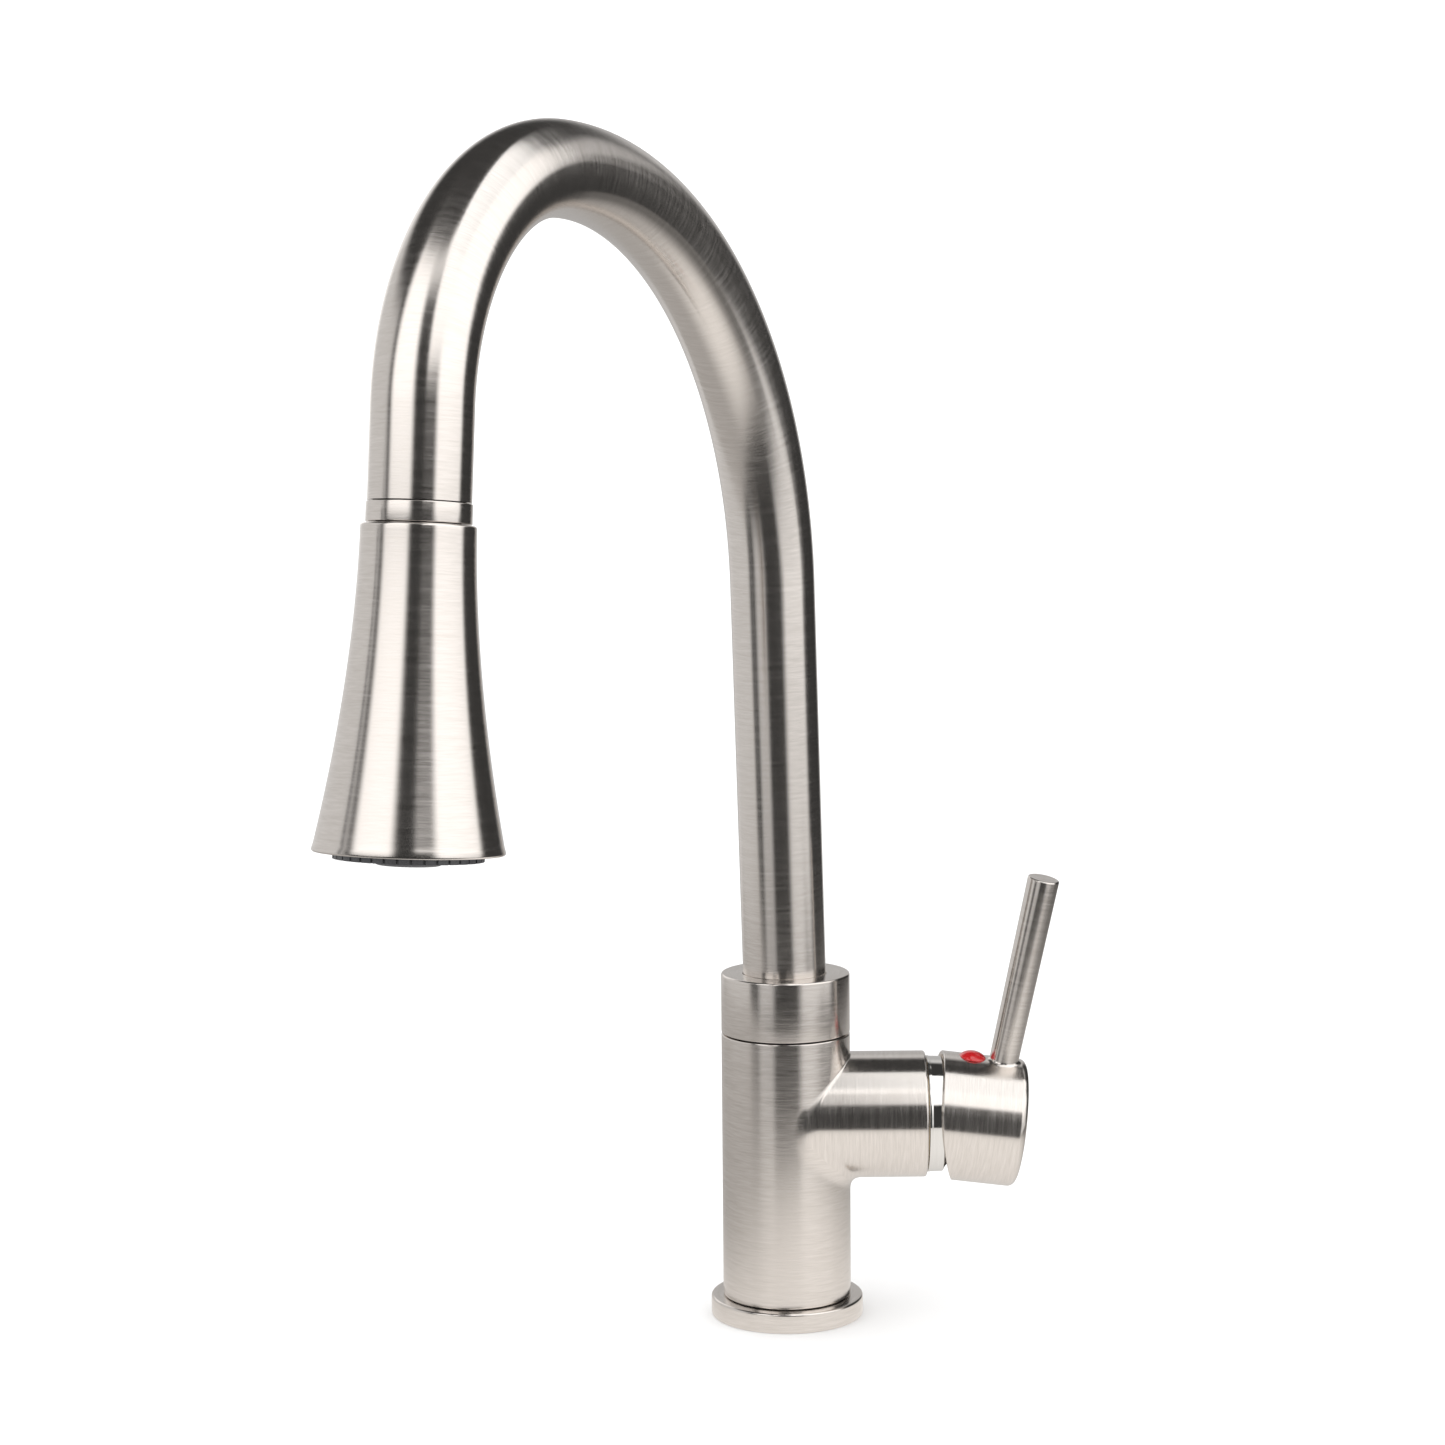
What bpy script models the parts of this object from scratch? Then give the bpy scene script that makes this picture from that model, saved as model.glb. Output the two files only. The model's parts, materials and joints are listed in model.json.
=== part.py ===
"""Pull-down kitchen faucet: a round valve body with a side lever, a swivelling gooseneck and a spray head.

Frame: origin at the centre of the deck flange's underside, +Z up, +X along the side branch to the handle.
Lengths are metres. The handle is shut and the spout is swung a little to the left of straight ahead.
"""

import math

import bmesh
import bpy
from mathutils import Matrix, Vector

MM = 0.001
GAP = 0.3 * MM  # left between pieces that meet
FINE, MEDIUM, COARSE = 32, 20, 14  # steps round a turned piece
BODY_STEPS = 36  # round the body and its branch

# Deck flange and valve body
FLANGE_R, FLANGE_H = 27.3 * MM, 7.0 * MM
FLANGE_HOLE_R = 19.1 * MM
SEAL_R_IN, SEAL_R_OUT, SEAL_H = 20.2 * MM, 22.6 * MM, 1.3 * MM
BODY_R = 23.0 * MM
BODY_BOTTOM, BODY_TOP = FLANGE_H + GAP, 102.6 * MM
HOSE_BORE_R = 9.0 * MM
SOCKET_R, SOCKET_FLOOR = 18.7 * MM, 84.6 * MM
WASHER_R, WASHER_FLOOR = 21.6 * MM, 101.2 * MM
RETAINER_Z, RETAINER_R = 93.6 * MM, 2.0 * MM

# Side branch, which holds the mixing cartridge
BRANCH_Z, BRANCH_R, BRANCH_END = 72.4 * MM, 22.5 * MM, 50.0 * MM
CAVITY_R, CAVITY_FLOOR = 17.8 * MM, 24.0 * MM
NUT_BORE_R, NUT_BORE_FLOOR = 20.0 * MM, 42.0 * MM
PIVOT_X = 52.5 * MM
WATERWAY_R, FITTING_BORE_R, FITTING_BORE_TOP = 3.0 * MM, 4.4 * MM, 16.0 * MM
PORTS_CIRCLE_R, PORTS_SPREAD = 14.5 * MM, math.radians(50)
SIDE_PORT_Y, SIDE_PORT_DROP, OUTLET_PORT_RISE = 9.0 * MM, 5.0 * MM, 8.0 * MM
PORT_R = 2.4 * MM

# Handle: the hub is turned a little forwards and tipped a little outwards when shut
HANDLE_TURN, HANDLE_TIP = math.radians(6.4), math.radians(7.1)
HUB_R, HUB_WALL, HUB_LENGTH, HUB_EDGE_R = 22.8 * MM, 1.4 * MM, 31.5 * MM, 2.5 * MM
HUB_FLOOR = 15.0 * MM
RIM_CURVE_R, RIM_RISE, RIM_AT = 96.0 * MM, 16.9 * MM, 2.4 * MM
LEVER_AT, LEVER_LEAN, LEVER_LENGTH = 22.8 * MM, math.radians(4.1), 69.0 * MM
LEVER_BASE_R, LEVER_TIP_R = 5.2 * MM, 5.6 * MM
BUTTON_AT, BUTTON_R = 11.6 * MM, 4.75 * MM
GRUB_AT = 18.0 * MM
STEM_HALF, STEM_END, STEM_START = 3.0 * MM, 20.2 * MM, -7.5 * MM
BALL_AT, BALL_R = -11.2 * MM, 2.6 * MM
PIN_R, PIN_HALF = 1.5 * MM, 9.6 * MM

# Swivelling spout: a straight leg with a slight lean, a wide arc, a tight arc and a short straight end
SPOUT_AZIMUTH = math.radians(-117.45)
COLLAR_BOTTOM, COLLAR_TOP = 103.1 * MM, 124.3 * MM
TUBE_R, TUBE_WALL = 14.8 * MM, 1.4 * MM
TUBE_START, LEAN_START, LEAN = 104.9 * MM, 112.0 * MM, 0.0549
LEG_LENGTH = 151.8 * MM
WIDE_R, WIDE_ANGLE = 140.8 * MM, 1.543
TIGHT_R, TIGHT_ANGLE = 78.6 * MM, 1.454
END_LENGTH = 27.0 * MM
ARC_STEP = math.radians(9)
HOSE_R = 4.2 * MM
HOSE_END, FERRULE_TOP = 27.0 * MM, 44.0 * MM  # back from the tube's end
HOSE_START = 1.2 * MM

# Spray head, in distances down its axis from the tube's end
RING_R, RING_H = 15.1 * MM, 6.15 * MM
HEAD_TOP, HEAD_LENGTH = 6.5 * MM, 92.8 * MM
HEAD_TOP_R, HEAD_RIM_R, FLARE = 16.45 * MM, 27.5 * MM, 1.8
HEAD_WALL = 1.6 * MM
HEAD_RIM = HEAD_TOP + HEAD_LENGTH
NECK_R = 11.9 * MM
TEETH, TOOTH_SHARE = 36, 0.8
TOOTH_R, TOOTH_ROOT_R, SELECTOR_BORE_R = 21.5 * MM, 20.6 * MM, 19.6 * MM
SELECTOR_BOTTOM = HEAD_RIM + 1.9 * MM
SELECTOR_TOP = HEAD_RIM - 3.4 * MM
DOME_R, DOME_BOTTOM = 10.2 * MM, HEAD_RIM + 3.5 * MM
NOZZLE_RINGS = ((12.6 * MM, 14), (16.6 * MM, 20))


def arc(centre_r, centre_h, radius, start, end, steps):
    """Points of an arc in the (radius, height) plane, from start to end in degrees."""
    angles = [math.radians(start + (end - start) * i / steps) for i in range(steps + 1)]
    return [
        (centre_r + radius * math.cos(a), centre_h + radius * math.sin(a)) for a in angles
    ]


def clear_scene():
    for old in list(bpy.data.objects):
        bpy.data.objects.remove(old, do_unlink=True)


def collection(name):
    made = bpy.data.collections.new(name)
    bpy.context.scene.collection.children.link(made)
    return made


def finish(name, color, roughness, metallic):
    material = bpy.data.materials.new(name)
    material.use_nodes = True
    shader = material.node_tree.nodes["Principled BSDF"]
    shader.inputs["Base Color"].default_value = (*color, 1.0)
    shader.inputs["Roughness"].default_value = roughness
    shader.inputs["Metallic"].default_value = metallic
    return material


clear_scene()
PARTS = collection("pull_down_kitchen_faucet")
CUTTERS = collection("cutters")

NICKEL = finish("brushed_nickel", (0.66, 0.63, 0.60), 0.30, 1.0)
STEEL = finish("polished_steel", (0.75, 0.74, 0.72), 0.15, 1.0)
BRASS = finish("brass", (0.78, 0.60, 0.30), 0.30, 1.0)
CERAMIC = finish("ceramic", (0.90, 0.89, 0.86), 0.20, 0.0)
WHITE = finish("white_acetal", (0.86, 0.86, 0.84), 0.45, 0.0)
DARK = finish("dark_grey_plastic", (0.10, 0.10, 0.11), 0.45, 0.0)
RUBBER = finish("black_rubber", (0.03, 0.03, 0.03), 0.80, 0.0)
SILICONE = finish("grey_silicone", (0.22, 0.22, 0.23), 0.60, 0.0)
RED = finish("red_enamel", (0.75, 0.03, 0.04), 0.20, 0.0)
BRAID = finish("braided_nylon", (0.25, 0.25, 0.27), 0.60, 0.0)


def empty(name, location, rotation=(0, 0, 0), parent=None):
    made = bpy.data.objects.new(name, None)
    PARTS.objects.link(made)
    made.location = location
    made.rotation_euler = rotation
    made.parent = parent
    return made


def place(name, mesh, parent, material, location=(0, 0, 0), rotation=(0, 0, 0)):
    """An object in the parts collection, or a cutter where it has no material."""
    made = bpy.data.objects.new(name, mesh)
    (PARTS if material else CUTTERS).objects.link(made)
    made.parent = parent
    made.location = location
    made.rotation_euler = rotation
    if material:
        mesh.materials.append(material)
    else:
        made.hide_render = True
        made.display_type = "WIRE"
    return made


def turned(name, outline, parent, material, steps=COARSE, **where):
    """A turned piece: its outline runs down the outside, then up the inside unless it ends on the axis."""
    mesh = bpy.data.meshes.new(name)
    points = [(radius, 0, height) for radius, height in outline]
    edges = [(i, i + 1) for i in range(len(points) - 1)]
    if outline[-1][0] > 0:
        edges.append((len(points) - 1, 0))
    mesh.from_pydata(points, edges, [])
    made = place(name, mesh, parent, material, **where)
    screw = made.modifiers.new("turn", "SCREW")
    screw.axis = "Z"
    screw.angle = math.tau
    screw.steps = screw.render_steps = steps
    screw.use_merge_vertices = True
    screw.merge_threshold = 1e-6
    screw.use_smooth_shade = True
    return made


def sleeve(name, bottom, top, r_in, r_out, parent, material, steps=COARSE, **where):
    outline = [(r_out, top), (r_out, bottom), (r_in, bottom), (r_in, top)]
    return turned(name, outline, parent, material, steps, **where)


def rod_mesh(name, radius, length, steps):
    """A plain cylinder mesh that stands on the origin."""
    shape = bmesh.new()
    bmesh.ops.create_cone(
        shape, cap_ends=True, segments=steps, radius1=radius, radius2=radius, depth=length,
        matrix=Matrix.Translation((0, 0, length / 2)),
    )
    mesh = bpy.data.meshes.new(name)
    shape.to_mesh(mesh)
    shape.free()
    return mesh


def drill(name, radius, length, parent, location=(0, 0, 0), rotation=(0, 0, 0), steps=MEDIUM):
    mesh = rod_mesh(name, radius, length, steps)
    return place(name, mesh, parent, None, location, rotation)


def block_mesh(name, low, high):
    shape = bmesh.new()
    low, high = Vector(low), Vector(high)
    size = Matrix.Diagonal((*(high - low), 1))
    bmesh.ops.create_cube(shape, size=1, matrix=Matrix.Translation((low + high) / 2) @ size)
    mesh = bpy.data.meshes.new(name)
    shape.to_mesh(mesh)
    shape.free()
    return mesh


def boolean(piece, operation, *others):
    for other in others:
        modifier = piece.modifiers.new(other.name, "BOOLEAN")
        modifier.operation = operation
        modifier.object = other
        modifier.solver = "EXACT"


ALONG_X = (0, math.radians(90), 0)  # turns a piece's own Z to +X
ALONG_MINUS_X = (0, math.radians(-90), 0)
ALONG_Y = (math.radians(-90), 0, 0)

branch = empty("branch_axis", (0, 0, BRANCH_Z), ALONG_X)
turn = empty("handle_turn_axis", (PIVOT_X, 0, BRANCH_Z), (HANDLE_TURN, 0, 0))
rotor_frame = empty("rotor_frame", (-PIVOT_X, 0, 0), parent=turn)
handle = empty("handle_tilt_axis", (0, 0, 0), (0, HANDLE_TIP, 0), parent=turn)
spout = empty("spout_swivel_axis", (0, 0, 0), (0, 0, SPOUT_AZIMUTH))


def make_base():
    edge = 0.9 * MM
    outline = arc(FLANGE_R - edge, FLANGE_H - edge, edge, 90, 0, 3)
    outline += arc(FLANGE_R - edge / 2, edge / 2, edge / 2, 0, -90, 2)
    outline += [
        (SEAL_R_OUT + GAP, 0),
        (SEAL_R_OUT + GAP, SEAL_H + GAP),
        (SEAL_R_IN - GAP, SEAL_H + GAP),
        (SEAL_R_IN - GAP, 0),
        (FLANGE_HOLE_R, 0),
        (FLANGE_HOLE_R, FLANGE_H),
    ]
    turned("base_flange", outline, None, NICKEL, FINE)
    sleeve("base_seal", 0, SEAL_H, SEAL_R_IN, SEAL_R_OUT, None, RUBBER, MEDIUM)


def port_places():
    """Where each waterway rises in the body: its name, x, y and the height of its port on the branch."""
    x, y = PORTS_CIRCLE_R * math.cos(PORTS_SPREAD), PORTS_CIRCLE_R * math.sin(PORTS_SPREAD)
    return (
        ("hot", x, y, BRANCH_Z - SIDE_PORT_DROP),
        ("cold", x, -y, BRANCH_Z - SIDE_PORT_DROP),
        ("outlet", PORTS_CIRCLE_R, 0, BRANCH_Z + OUTLET_PORT_RISE),
    )


def make_valve_body():
    edge = 0.5 * MM
    outline = [(0, BODY_TOP), (BODY_R - edge, BODY_TOP), (BODY_R, BODY_TOP - edge)]
    outline += [(BODY_R, BODY_BOTTOM), (0, BODY_BOTTOM)]
    body = turned("valve_body", outline, None, NICKEL, BODY_STEPS)
    round_r = 1.0 * MM
    arm_outline = [(0, BRANCH_END)]
    arm_outline += arc(BRANCH_R - round_r, BRANCH_END - round_r, round_r, 90, 0, 3)
    arm_outline += [(BRANCH_R, 0), (0, 0)]
    arm = turned("branch_union", arm_outline, branch, None, BODY_STEPS)
    boolean(body, "UNION", arm)

    past, retainer_r = 3 * MM, RETAINER_R + 0.4 * MM
    down = BODY_BOTTOM - past
    cuts = [
        drill("hose_bore", HOSE_BORE_R, BODY_TOP, None),
        drill("spout_socket", SOCKET_R, BODY_TOP, None, (0, 0, SOCKET_FLOOR), steps=FINE),
        drill("washer_seat", WASHER_R, past * 2, None, (0, 0, WASHER_FLOOR), steps=FINE),
        drill("cavity", CAVITY_R, BRANCH_END, branch, (0, 0, CAVITY_FLOOR), steps=FINE),
        drill("nut_bore", NUT_BORE_R, BRANCH_END, branch, (0, 0, NUT_BORE_FLOOR), steps=FINE),
        drill("retainer_bore", retainer_r, 12 * MM, None, (0, 14 * MM, RETAINER_Z), ALONG_Y),
    ]
    for name, x, y, port_z in port_places():
        rise = port_z - down
        across = CAVITY_FLOOR - x + GAP
        side = math.copysign(SIDE_PORT_Y, y) if y else 0
        cuts.append(drill(f"{name}_rise", WATERWAY_R, rise, None, (x, y, down), steps=12))
        cuts.append(
            drill(f"{name}_port", WATERWAY_R, across, None, (x, side, port_z), ALONG_X, steps=12)
        )
        depth = FITTING_BORE_TOP - down
        cuts.append(drill(f"{name}_socket", FITTING_BORE_R, depth, None, (x, y, down)))
    boolean(body, "DIFFERENCE", *cuts)


def make_under_body():
    """The inlet and outlet stubs, and the sleeve that guides the hose through the body."""
    stub_r, stub_bottom = 4.1 * MM, 1.0 * MM
    for name, x, y, _ in port_places():
        sleeve(
            f"{name}_fitting", stub_bottom, FITTING_BORE_TOP - GAP, 2.4 * MM, stub_r,
            None, BRASS, 16, location=(x, y, 0),
        )
    sleeve("hose_guide", 1.0 * MM, 22 * MM, HOSE_R + 1.0 * MM, HOSE_BORE_R - GAP, None, WHITE)


def make_retaining_screw():
    """A grub screw at the back, whose tip stands in the spout foot's groove and keeps the spout in."""
    radius, length, point = RETAINER_R, 4.6 * MM, 1.0 * MM
    outline = [
        (0, length - 1.4 * MM), (1.0 * MM, length - 1.4 * MM), (1.0 * MM, length),
        (radius, length), (radius, point), (radius - point, 0), (0, 0),
    ]
    turned(
        "spout_retaining_screw", outline, None, STEEL, 12,
        location=(0, 17.4 * MM, RETAINER_Z), rotation=ALONG_Y,
    )


def cartridge_port_cutter():
    """One cutter for the three ports through the cartridge's seal, housing and fixed disc."""
    ports = bmesh.new()
    length = 14 * MM
    for y, z in (
        (SIDE_PORT_Y, -SIDE_PORT_DROP), (-SIDE_PORT_Y, -SIDE_PORT_DROP), (0, OUTLET_PORT_RISE)
    ):
        bmesh.ops.create_cone(
            ports, cap_ends=True, segments=12, radius1=PORT_R, radius2=PORT_R, depth=length,
            matrix=Matrix.Translation((-z, y, CAVITY_FLOOR + length / 2)),
        )
    mesh = bpy.data.meshes.new("cartridge_ports")
    ports.to_mesh(mesh)
    ports.free()
    return place("cartridge_ports", mesh, branch, None)


def make_cartridge():
    """The fixed part of the mixing cartridge, its nut and its domed trim ring, along the branch."""
    ports = cartridge_port_cutter()
    seal_top = CAVITY_FLOOR + 1.9 * MM
    outline = [(0, seal_top), (16.5 * MM, seal_top)]
    outline += [(16.5 * MM, CAVITY_FLOOR + GAP), (0, CAVITY_FLOOR + GAP)]
    seal = turned("cartridge_seal", outline, branch, RUBBER, MEDIUM)

    base, floor, end = seal_top + GAP, seal_top + 3.3 * MM, 50.1 * MM
    outer, inner = 17.4 * MM, 15.2 * MM
    outline = [(0, floor), (inner, floor), (inner, end), (outer, end), (outer, base), (0, base)]
    housing = turned("cartridge_housing", outline, branch, WHITE, MEDIUM)

    disc = [(0, floor + 4.4 * MM), (14.8 * MM, floor + 4.4 * MM), (14.8 * MM, floor + GAP)]
    disc.append((0, floor + GAP))
    fixed = turned("ceramic_disc_fixed", disc, branch, CERAMIC, MEDIUM)
    for piece in (seal, housing, fixed):
        boolean(piece, "DIFFERENCE", ports)

    skirt_r_in, skirt_r_out = 17.75 * MM, 19.7 * MM
    skirt_end, face, front = 42.5 * MM, 50.4 * MM, 55.0 * MM
    outline = [
        (18.9 * MM, front), (18.9 * MM, face), (skirt_r_out, face), (skirt_r_out, skirt_end),
        (skirt_r_in, skirt_end), (skirt_r_in, face), (11.0 * MM, face), (11.0 * MM, front),
    ]
    turned("cartridge_nut", outline, branch, BRASS, MEDIUM)

    outline = [
        (13.0 * MM, 59.2 * MM), (15.6 * MM, 58.9 * MM), (17.6 * MM, 58.0 * MM),
        (19.0 * MM, 56.9 * MM), (19.7 * MM, 56.0 * MM), (20.6 * MM, 51.6 * MM),
        (20.75 * MM, 51.0 * MM), (20.75 * MM, 50.35 * MM), (20.1 * MM, 50.35 * MM),
        (19.3 * MM, 51.0 * MM), (19.2 * MM, 55.4 * MM), (16.8 * MM, 57.6 * MM),
        (13.0 * MM, 58.2 * MM),
    ]
    turned("cartridge_bonnet", outline, branch, STEEL, MEDIUM)


def make_rotor():
    """The cartridge's turning part, the disc that it slides, and the pin that the stem tips on."""
    big_r, neck_r = 14.8 * MM, 10.3 * MM
    start, shoulder, end = 43.8 * MM, 50.0 * MM, 57.5 * MM
    outline = [(0, end), (neck_r, end), (neck_r, shoulder), (big_r, shoulder)]
    outline += [(big_r, start), (0, start)]
    rotor = turned("cartridge_rotor", outline, rotor_frame, WHITE, MEDIUM, rotation=ALONG_X)
    slot_half = STEM_HALF + 0.5 * MM
    slot = block_mesh(
        "stem_slot", (start - MM, -slot_half, -6.8 * MM), (end + MM, slot_half, 8.6 * MM)
    )
    slot = place("stem_slot", slot, rotor_frame, None)
    across = 2 * PIN_HALF + 4 * MM
    hole = drill(
        "rotor_pin_bore", PIN_R + GAP, across, turn, (0, -across / 2, 0), ALONG_Y, 16
    )
    boolean(rotor, "DIFFERENCE", slot, hole)

    pin = rod_mesh("stem_pin", PIN_R, 2 * PIN_HALF, 16)
    place("stem_pin", pin, turn, STEEL, (0, -PIN_HALF, 0), ALONG_Y)

    offset = -BALL_AT * math.sin(HANDLE_TIP)
    disc_r = 9.8 * MM
    low, high = 33.9 * MM, 36.9 * MM
    outline = [(0, high), (disc_r, high), (disc_r, low), (6.0 * MM, low)]
    outline += [(6.0 * MM, low + 1.2 * MM), (0, low + 1.2 * MM)]
    turned(
        "ceramic_disc_moving", outline, rotor_frame, CERAMIC, MEDIUM,
        location=(0, 0, offset), rotation=ALONG_X,
    )
    low, high = high + GAP, 43.4 * MM
    cup_r, cup_floor = BALL_R + 0.5 * MM, 38.3 * MM
    outline = [(0, cup_floor), (cup_r, cup_floor), (cup_r, high), (disc_r, high)]
    outline += [(disc_r, low), (0, low)]
    turned(
        "disc_driver", outline, rotor_frame, WHITE, MEDIUM,
        location=(0, 0, offset), rotation=ALONG_X,
    )


def make_stem():
    bar = block_mesh(
        "cartridge_stem", (STEM_START, -STEM_HALF, -STEM_HALF), (STEM_END, STEM_HALF, STEM_HALF)
    )
    stem = place("cartridge_stem", bar, handle, STEEL)
    shape = bmesh.new()
    bmesh.ops.create_uvsphere(shape, u_segments=16, v_segments=8, radius=BALL_R)
    ball = bpy.data.meshes.new("ball")
    shape.to_mesh(ball)
    shape.free()
    ball = place("stem_ball", ball, handle, None, (BALL_AT, 0, 0))
    neck = drill("stem_neck", 1.7 * MM, 6 * MM, handle, (BALL_AT, 0, 0), ALONG_X, 12)
    across = 4 * STEM_HALF
    hole = drill("stem_bore", PIN_R + GAP, across, handle, (0, -across / 2, 0), ALONG_Y, 16)
    boolean(stem, "UNION", neck, ball)
    boolean(stem, "DIFFERENCE", hole)


def make_hub():
    """A cup with a thick end: its open rim is a shallow hollow curve, longer on top, so that it can tip."""
    cup_r = HUB_R - HUB_WALL
    past = -6 * MM
    outline = [(0, HUB_LENGTH)]
    outline += arc(HUB_R - HUB_EDGE_R, HUB_LENGTH - HUB_EDGE_R, HUB_EDGE_R, 90, 0, 4)
    outline += [(HUB_R, past), (cup_r, past), (cup_r, HUB_FLOOR), (0, HUB_FLOOR)]
    hub = turned("handle_hub", outline, handle, NICKEL, FINE, rotation=ALONG_X)

    centre_x = RIM_AT + math.sqrt(RIM_CURVE_R**2 - RIM_RISE**2)
    width = 2 * HUB_R + 10 * MM
    rim = drill(
        "rim_curve", RIM_CURVE_R, width, handle, (centre_x, -width / 2, RIM_RISE), ALONG_Y, 160
    )
    boolean(hub, "INTERSECT", rim)

    socket = STEM_HALF + GAP
    socket = block_mesh(
        "socket", (HUB_FLOOR - MM, -socket, -socket), (STEM_END + 0.4 * MM, socket, socket)
    )
    seat_floor = HUB_R - 0.65 * MM
    cuts = [
        place("stem_socket", socket, handle, None),
        drill("set_screw_bore", 2.3 * MM, 20 * MM, handle, (GRUB_AT, 0, -HUB_R - MM), steps=16),
        drill("button_seat", BUTTON_R + GAP, 4 * MM, handle, (BUTTON_AT, 0, seat_floor)),
        drill("button_bore", 2.4 * MM, 6 * MM, handle, (BUTTON_AT, 0, HUB_R - 4 * MM), steps=16),
        drill("lever_seat", LEVER_BASE_R + 0.35 * MM, 4 * MM, lever, (0, 0, -GAP)),
        drill("lever_bore", 3.3 * MM, 12 * MM, lever, (0, 0, -9.6 * MM), steps=16),
    ]
    boolean(hub, "DIFFERENCE", *cuts)


def make_lever():
    edge = 0.7 * MM
    outline = [(0, LEVER_LENGTH)]
    outline += arc(LEVER_TIP_R - edge, LEVER_LENGTH - edge, edge, 90, 0, 3)
    outline += [(LEVER_BASE_R, 0), (3.0 * MM, 0), (3.0 * MM, -9.2 * MM), (0, -9.2 * MM)]
    turned("lever_rod", outline, lever, NICKEL, MEDIUM)


def make_handle_trim():
    """The domed index button on its peg, and the grub screw that locks the hub to the stem."""
    seat, crown = HUB_R - 0.35 * MM, HUB_R + 2.1 * MM
    outline = [
        (0, crown), (2.0 * MM, crown - 0.25 * MM), (3.5 * MM, crown - 0.85 * MM),
        (4.4 * MM, crown - 1.55 * MM), (BUTTON_R, seat + 0.3 * MM), (BUTTON_R, seat),
        (2.1 * MM, seat), (2.1 * MM, seat - 2.2 * MM), (0, seat - 2.2 * MM),
    ]
    turned("index_button", outline, handle, RED, MEDIUM, location=(BUTTON_AT, 0, 0))
    outline = [(0, -12 * MM), (2.0 * MM, -12 * MM), (2.0 * MM, -19 * MM), (1.0 * MM, -19 * MM)]
    outline += [(1.0 * MM, -17.6 * MM), (0, -17.6 * MM)]
    turned("handle_set_screw", outline, handle, STEEL, 12, location=(GRUB_AT, 0, 0))


def make_spout_foot():
    """The turned foot that swivels in the body, its two O-rings and the thrust washer above them."""
    foot_r, groove_r, spigot_r, bore_r = 18.2 * MM, 16.4 * MM, 13.1 * MM, 7.5 * MM
    top, shoulder, bottom = 111.4 * MM, 104.6 * MM, 85.2 * MM
    keeper = RETAINER_R + 0.5 * MM
    grooves = (
        (98.2 * MM, 101.0 * MM), (RETAINER_Z - keeper, RETAINER_Z + keeper), (86.6 * MM, 89.4 * MM),
    )
    outline = [(spigot_r, top), (spigot_r, shoulder), (foot_r, shoulder)]
    for low, high in grooves:
        outline += [(foot_r, high), (groove_r, high), (groove_r, low), (foot_r, low)]
    outline += [(foot_r, bottom), (bore_r, bottom), (bore_r, top)]
    turned("spout_foot", outline, spout, BRASS, MEDIUM)
    ring_r, section = 17.4 * MM, 0.75 * MM
    for name, (low, high) in (("upper", grooves[0]), ("lower", grooves[2])):
        outline = arc(ring_r, (low + high) / 2, section, 90, -210, 5)
        turned(f"foot_oring_{name}", outline, spout, RUBBER, MEDIUM)
    sleeve(
        "thrust_washer", WASHER_FLOOR + GAP, COLLAR_BOTTOM - GAP, 18.9 * MM, 21.2 * MM,
        None, DARK, MEDIUM,
    )


def make_collar():
    """The collar that turns with the spout. Its bore is wide enough for the tube's lean."""
    edge, skirt_r_in, shoulder = 0.5 * MM, 18.6 * MM, 105.4 * MM
    bore_r = TUBE_R + LEAN * (COLLAR_TOP - LEAN_START) + 0.35 * MM
    outline = [(bore_r, COLLAR_TOP), (BODY_R - edge, COLLAR_TOP), (BODY_R, COLLAR_TOP - edge)]
    outline += [(BODY_R, COLLAR_BOTTOM), (skirt_r_in, COLLAR_BOTTOM), (skirt_r_in, shoulder)]
    outline += [(bore_r, shoulder)]
    turned("swivel_collar", outline, spout, NICKEL, FINE)


def spout_line():
    """The gooseneck's centreline in the spout's own upright plane, and its direction at the end."""
    heading = math.radians(90)
    x, z = 0.0, TUBE_START
    points = [(x, z)]
    for length, radius, angle, tilt in (
        (LEAN_START - TUBE_START, 0, 0, LEAN), (LEG_LENGTH, 0, 0, 0),
        (0, WIDE_R, WIDE_ANGLE, 0), (0, TIGHT_R, TIGHT_ANGLE, 0), (END_LENGTH, 0, 0, 0),
    ):
        if radius == 0:
            x, z = x + length * math.cos(heading), z + length * math.sin(heading)
            points.append((x, z))
            heading -= tilt
            continue
        centre = (x + radius * math.sin(heading), z - radius * math.cos(heading))
        steps = math.ceil(angle / ARC_STEP)
        for i in range(1, steps + 1):
            toward = heading - angle * i / steps
            points.append(
                (centre[0] - radius * math.sin(toward), centre[1] + radius * math.cos(toward))
            )
        heading -= angle
        x, z = points[-1]
    return points, heading


def swept(name, points, radius, resolution, material, capped):
    """A tube of round section along points in the spout's plane, made a mesh."""
    curve = bpy.data.curves.new(name, "CURVE")
    curve.dimensions = "3D"
    curve.bevel_depth = radius
    curve.bevel_resolution = resolution
    curve.use_fill_caps = capped
    spline = curve.splines.new("POLY")
    spline.points.add(len(points) - 1)
    for knot, (x, z) in zip(spline.points, points):
        knot.co = (x, 0, z, 1)
    guide = bpy.data.objects.new(name + "_line", curve)
    PARTS.objects.link(guide)
    guide.parent = spout
    bpy.context.view_layer.update()
    graph = bpy.context.evaluated_depsgraph_get()
    mesh = bpy.data.meshes.new_from_object(guide.evaluated_get(graph))
    bpy.data.objects.remove(guide)
    mesh.materials.clear()
    shape = bmesh.new()
    shape.from_mesh(mesh)
    bmesh.ops.remove_doubles(shape, verts=shape.verts, dist=1e-6)
    bmesh.ops.recalc_face_normals(shape, faces=shape.faces)
    shape.to_mesh(mesh)
    shape.free()
    return place(name, mesh, spout, material)


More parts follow.
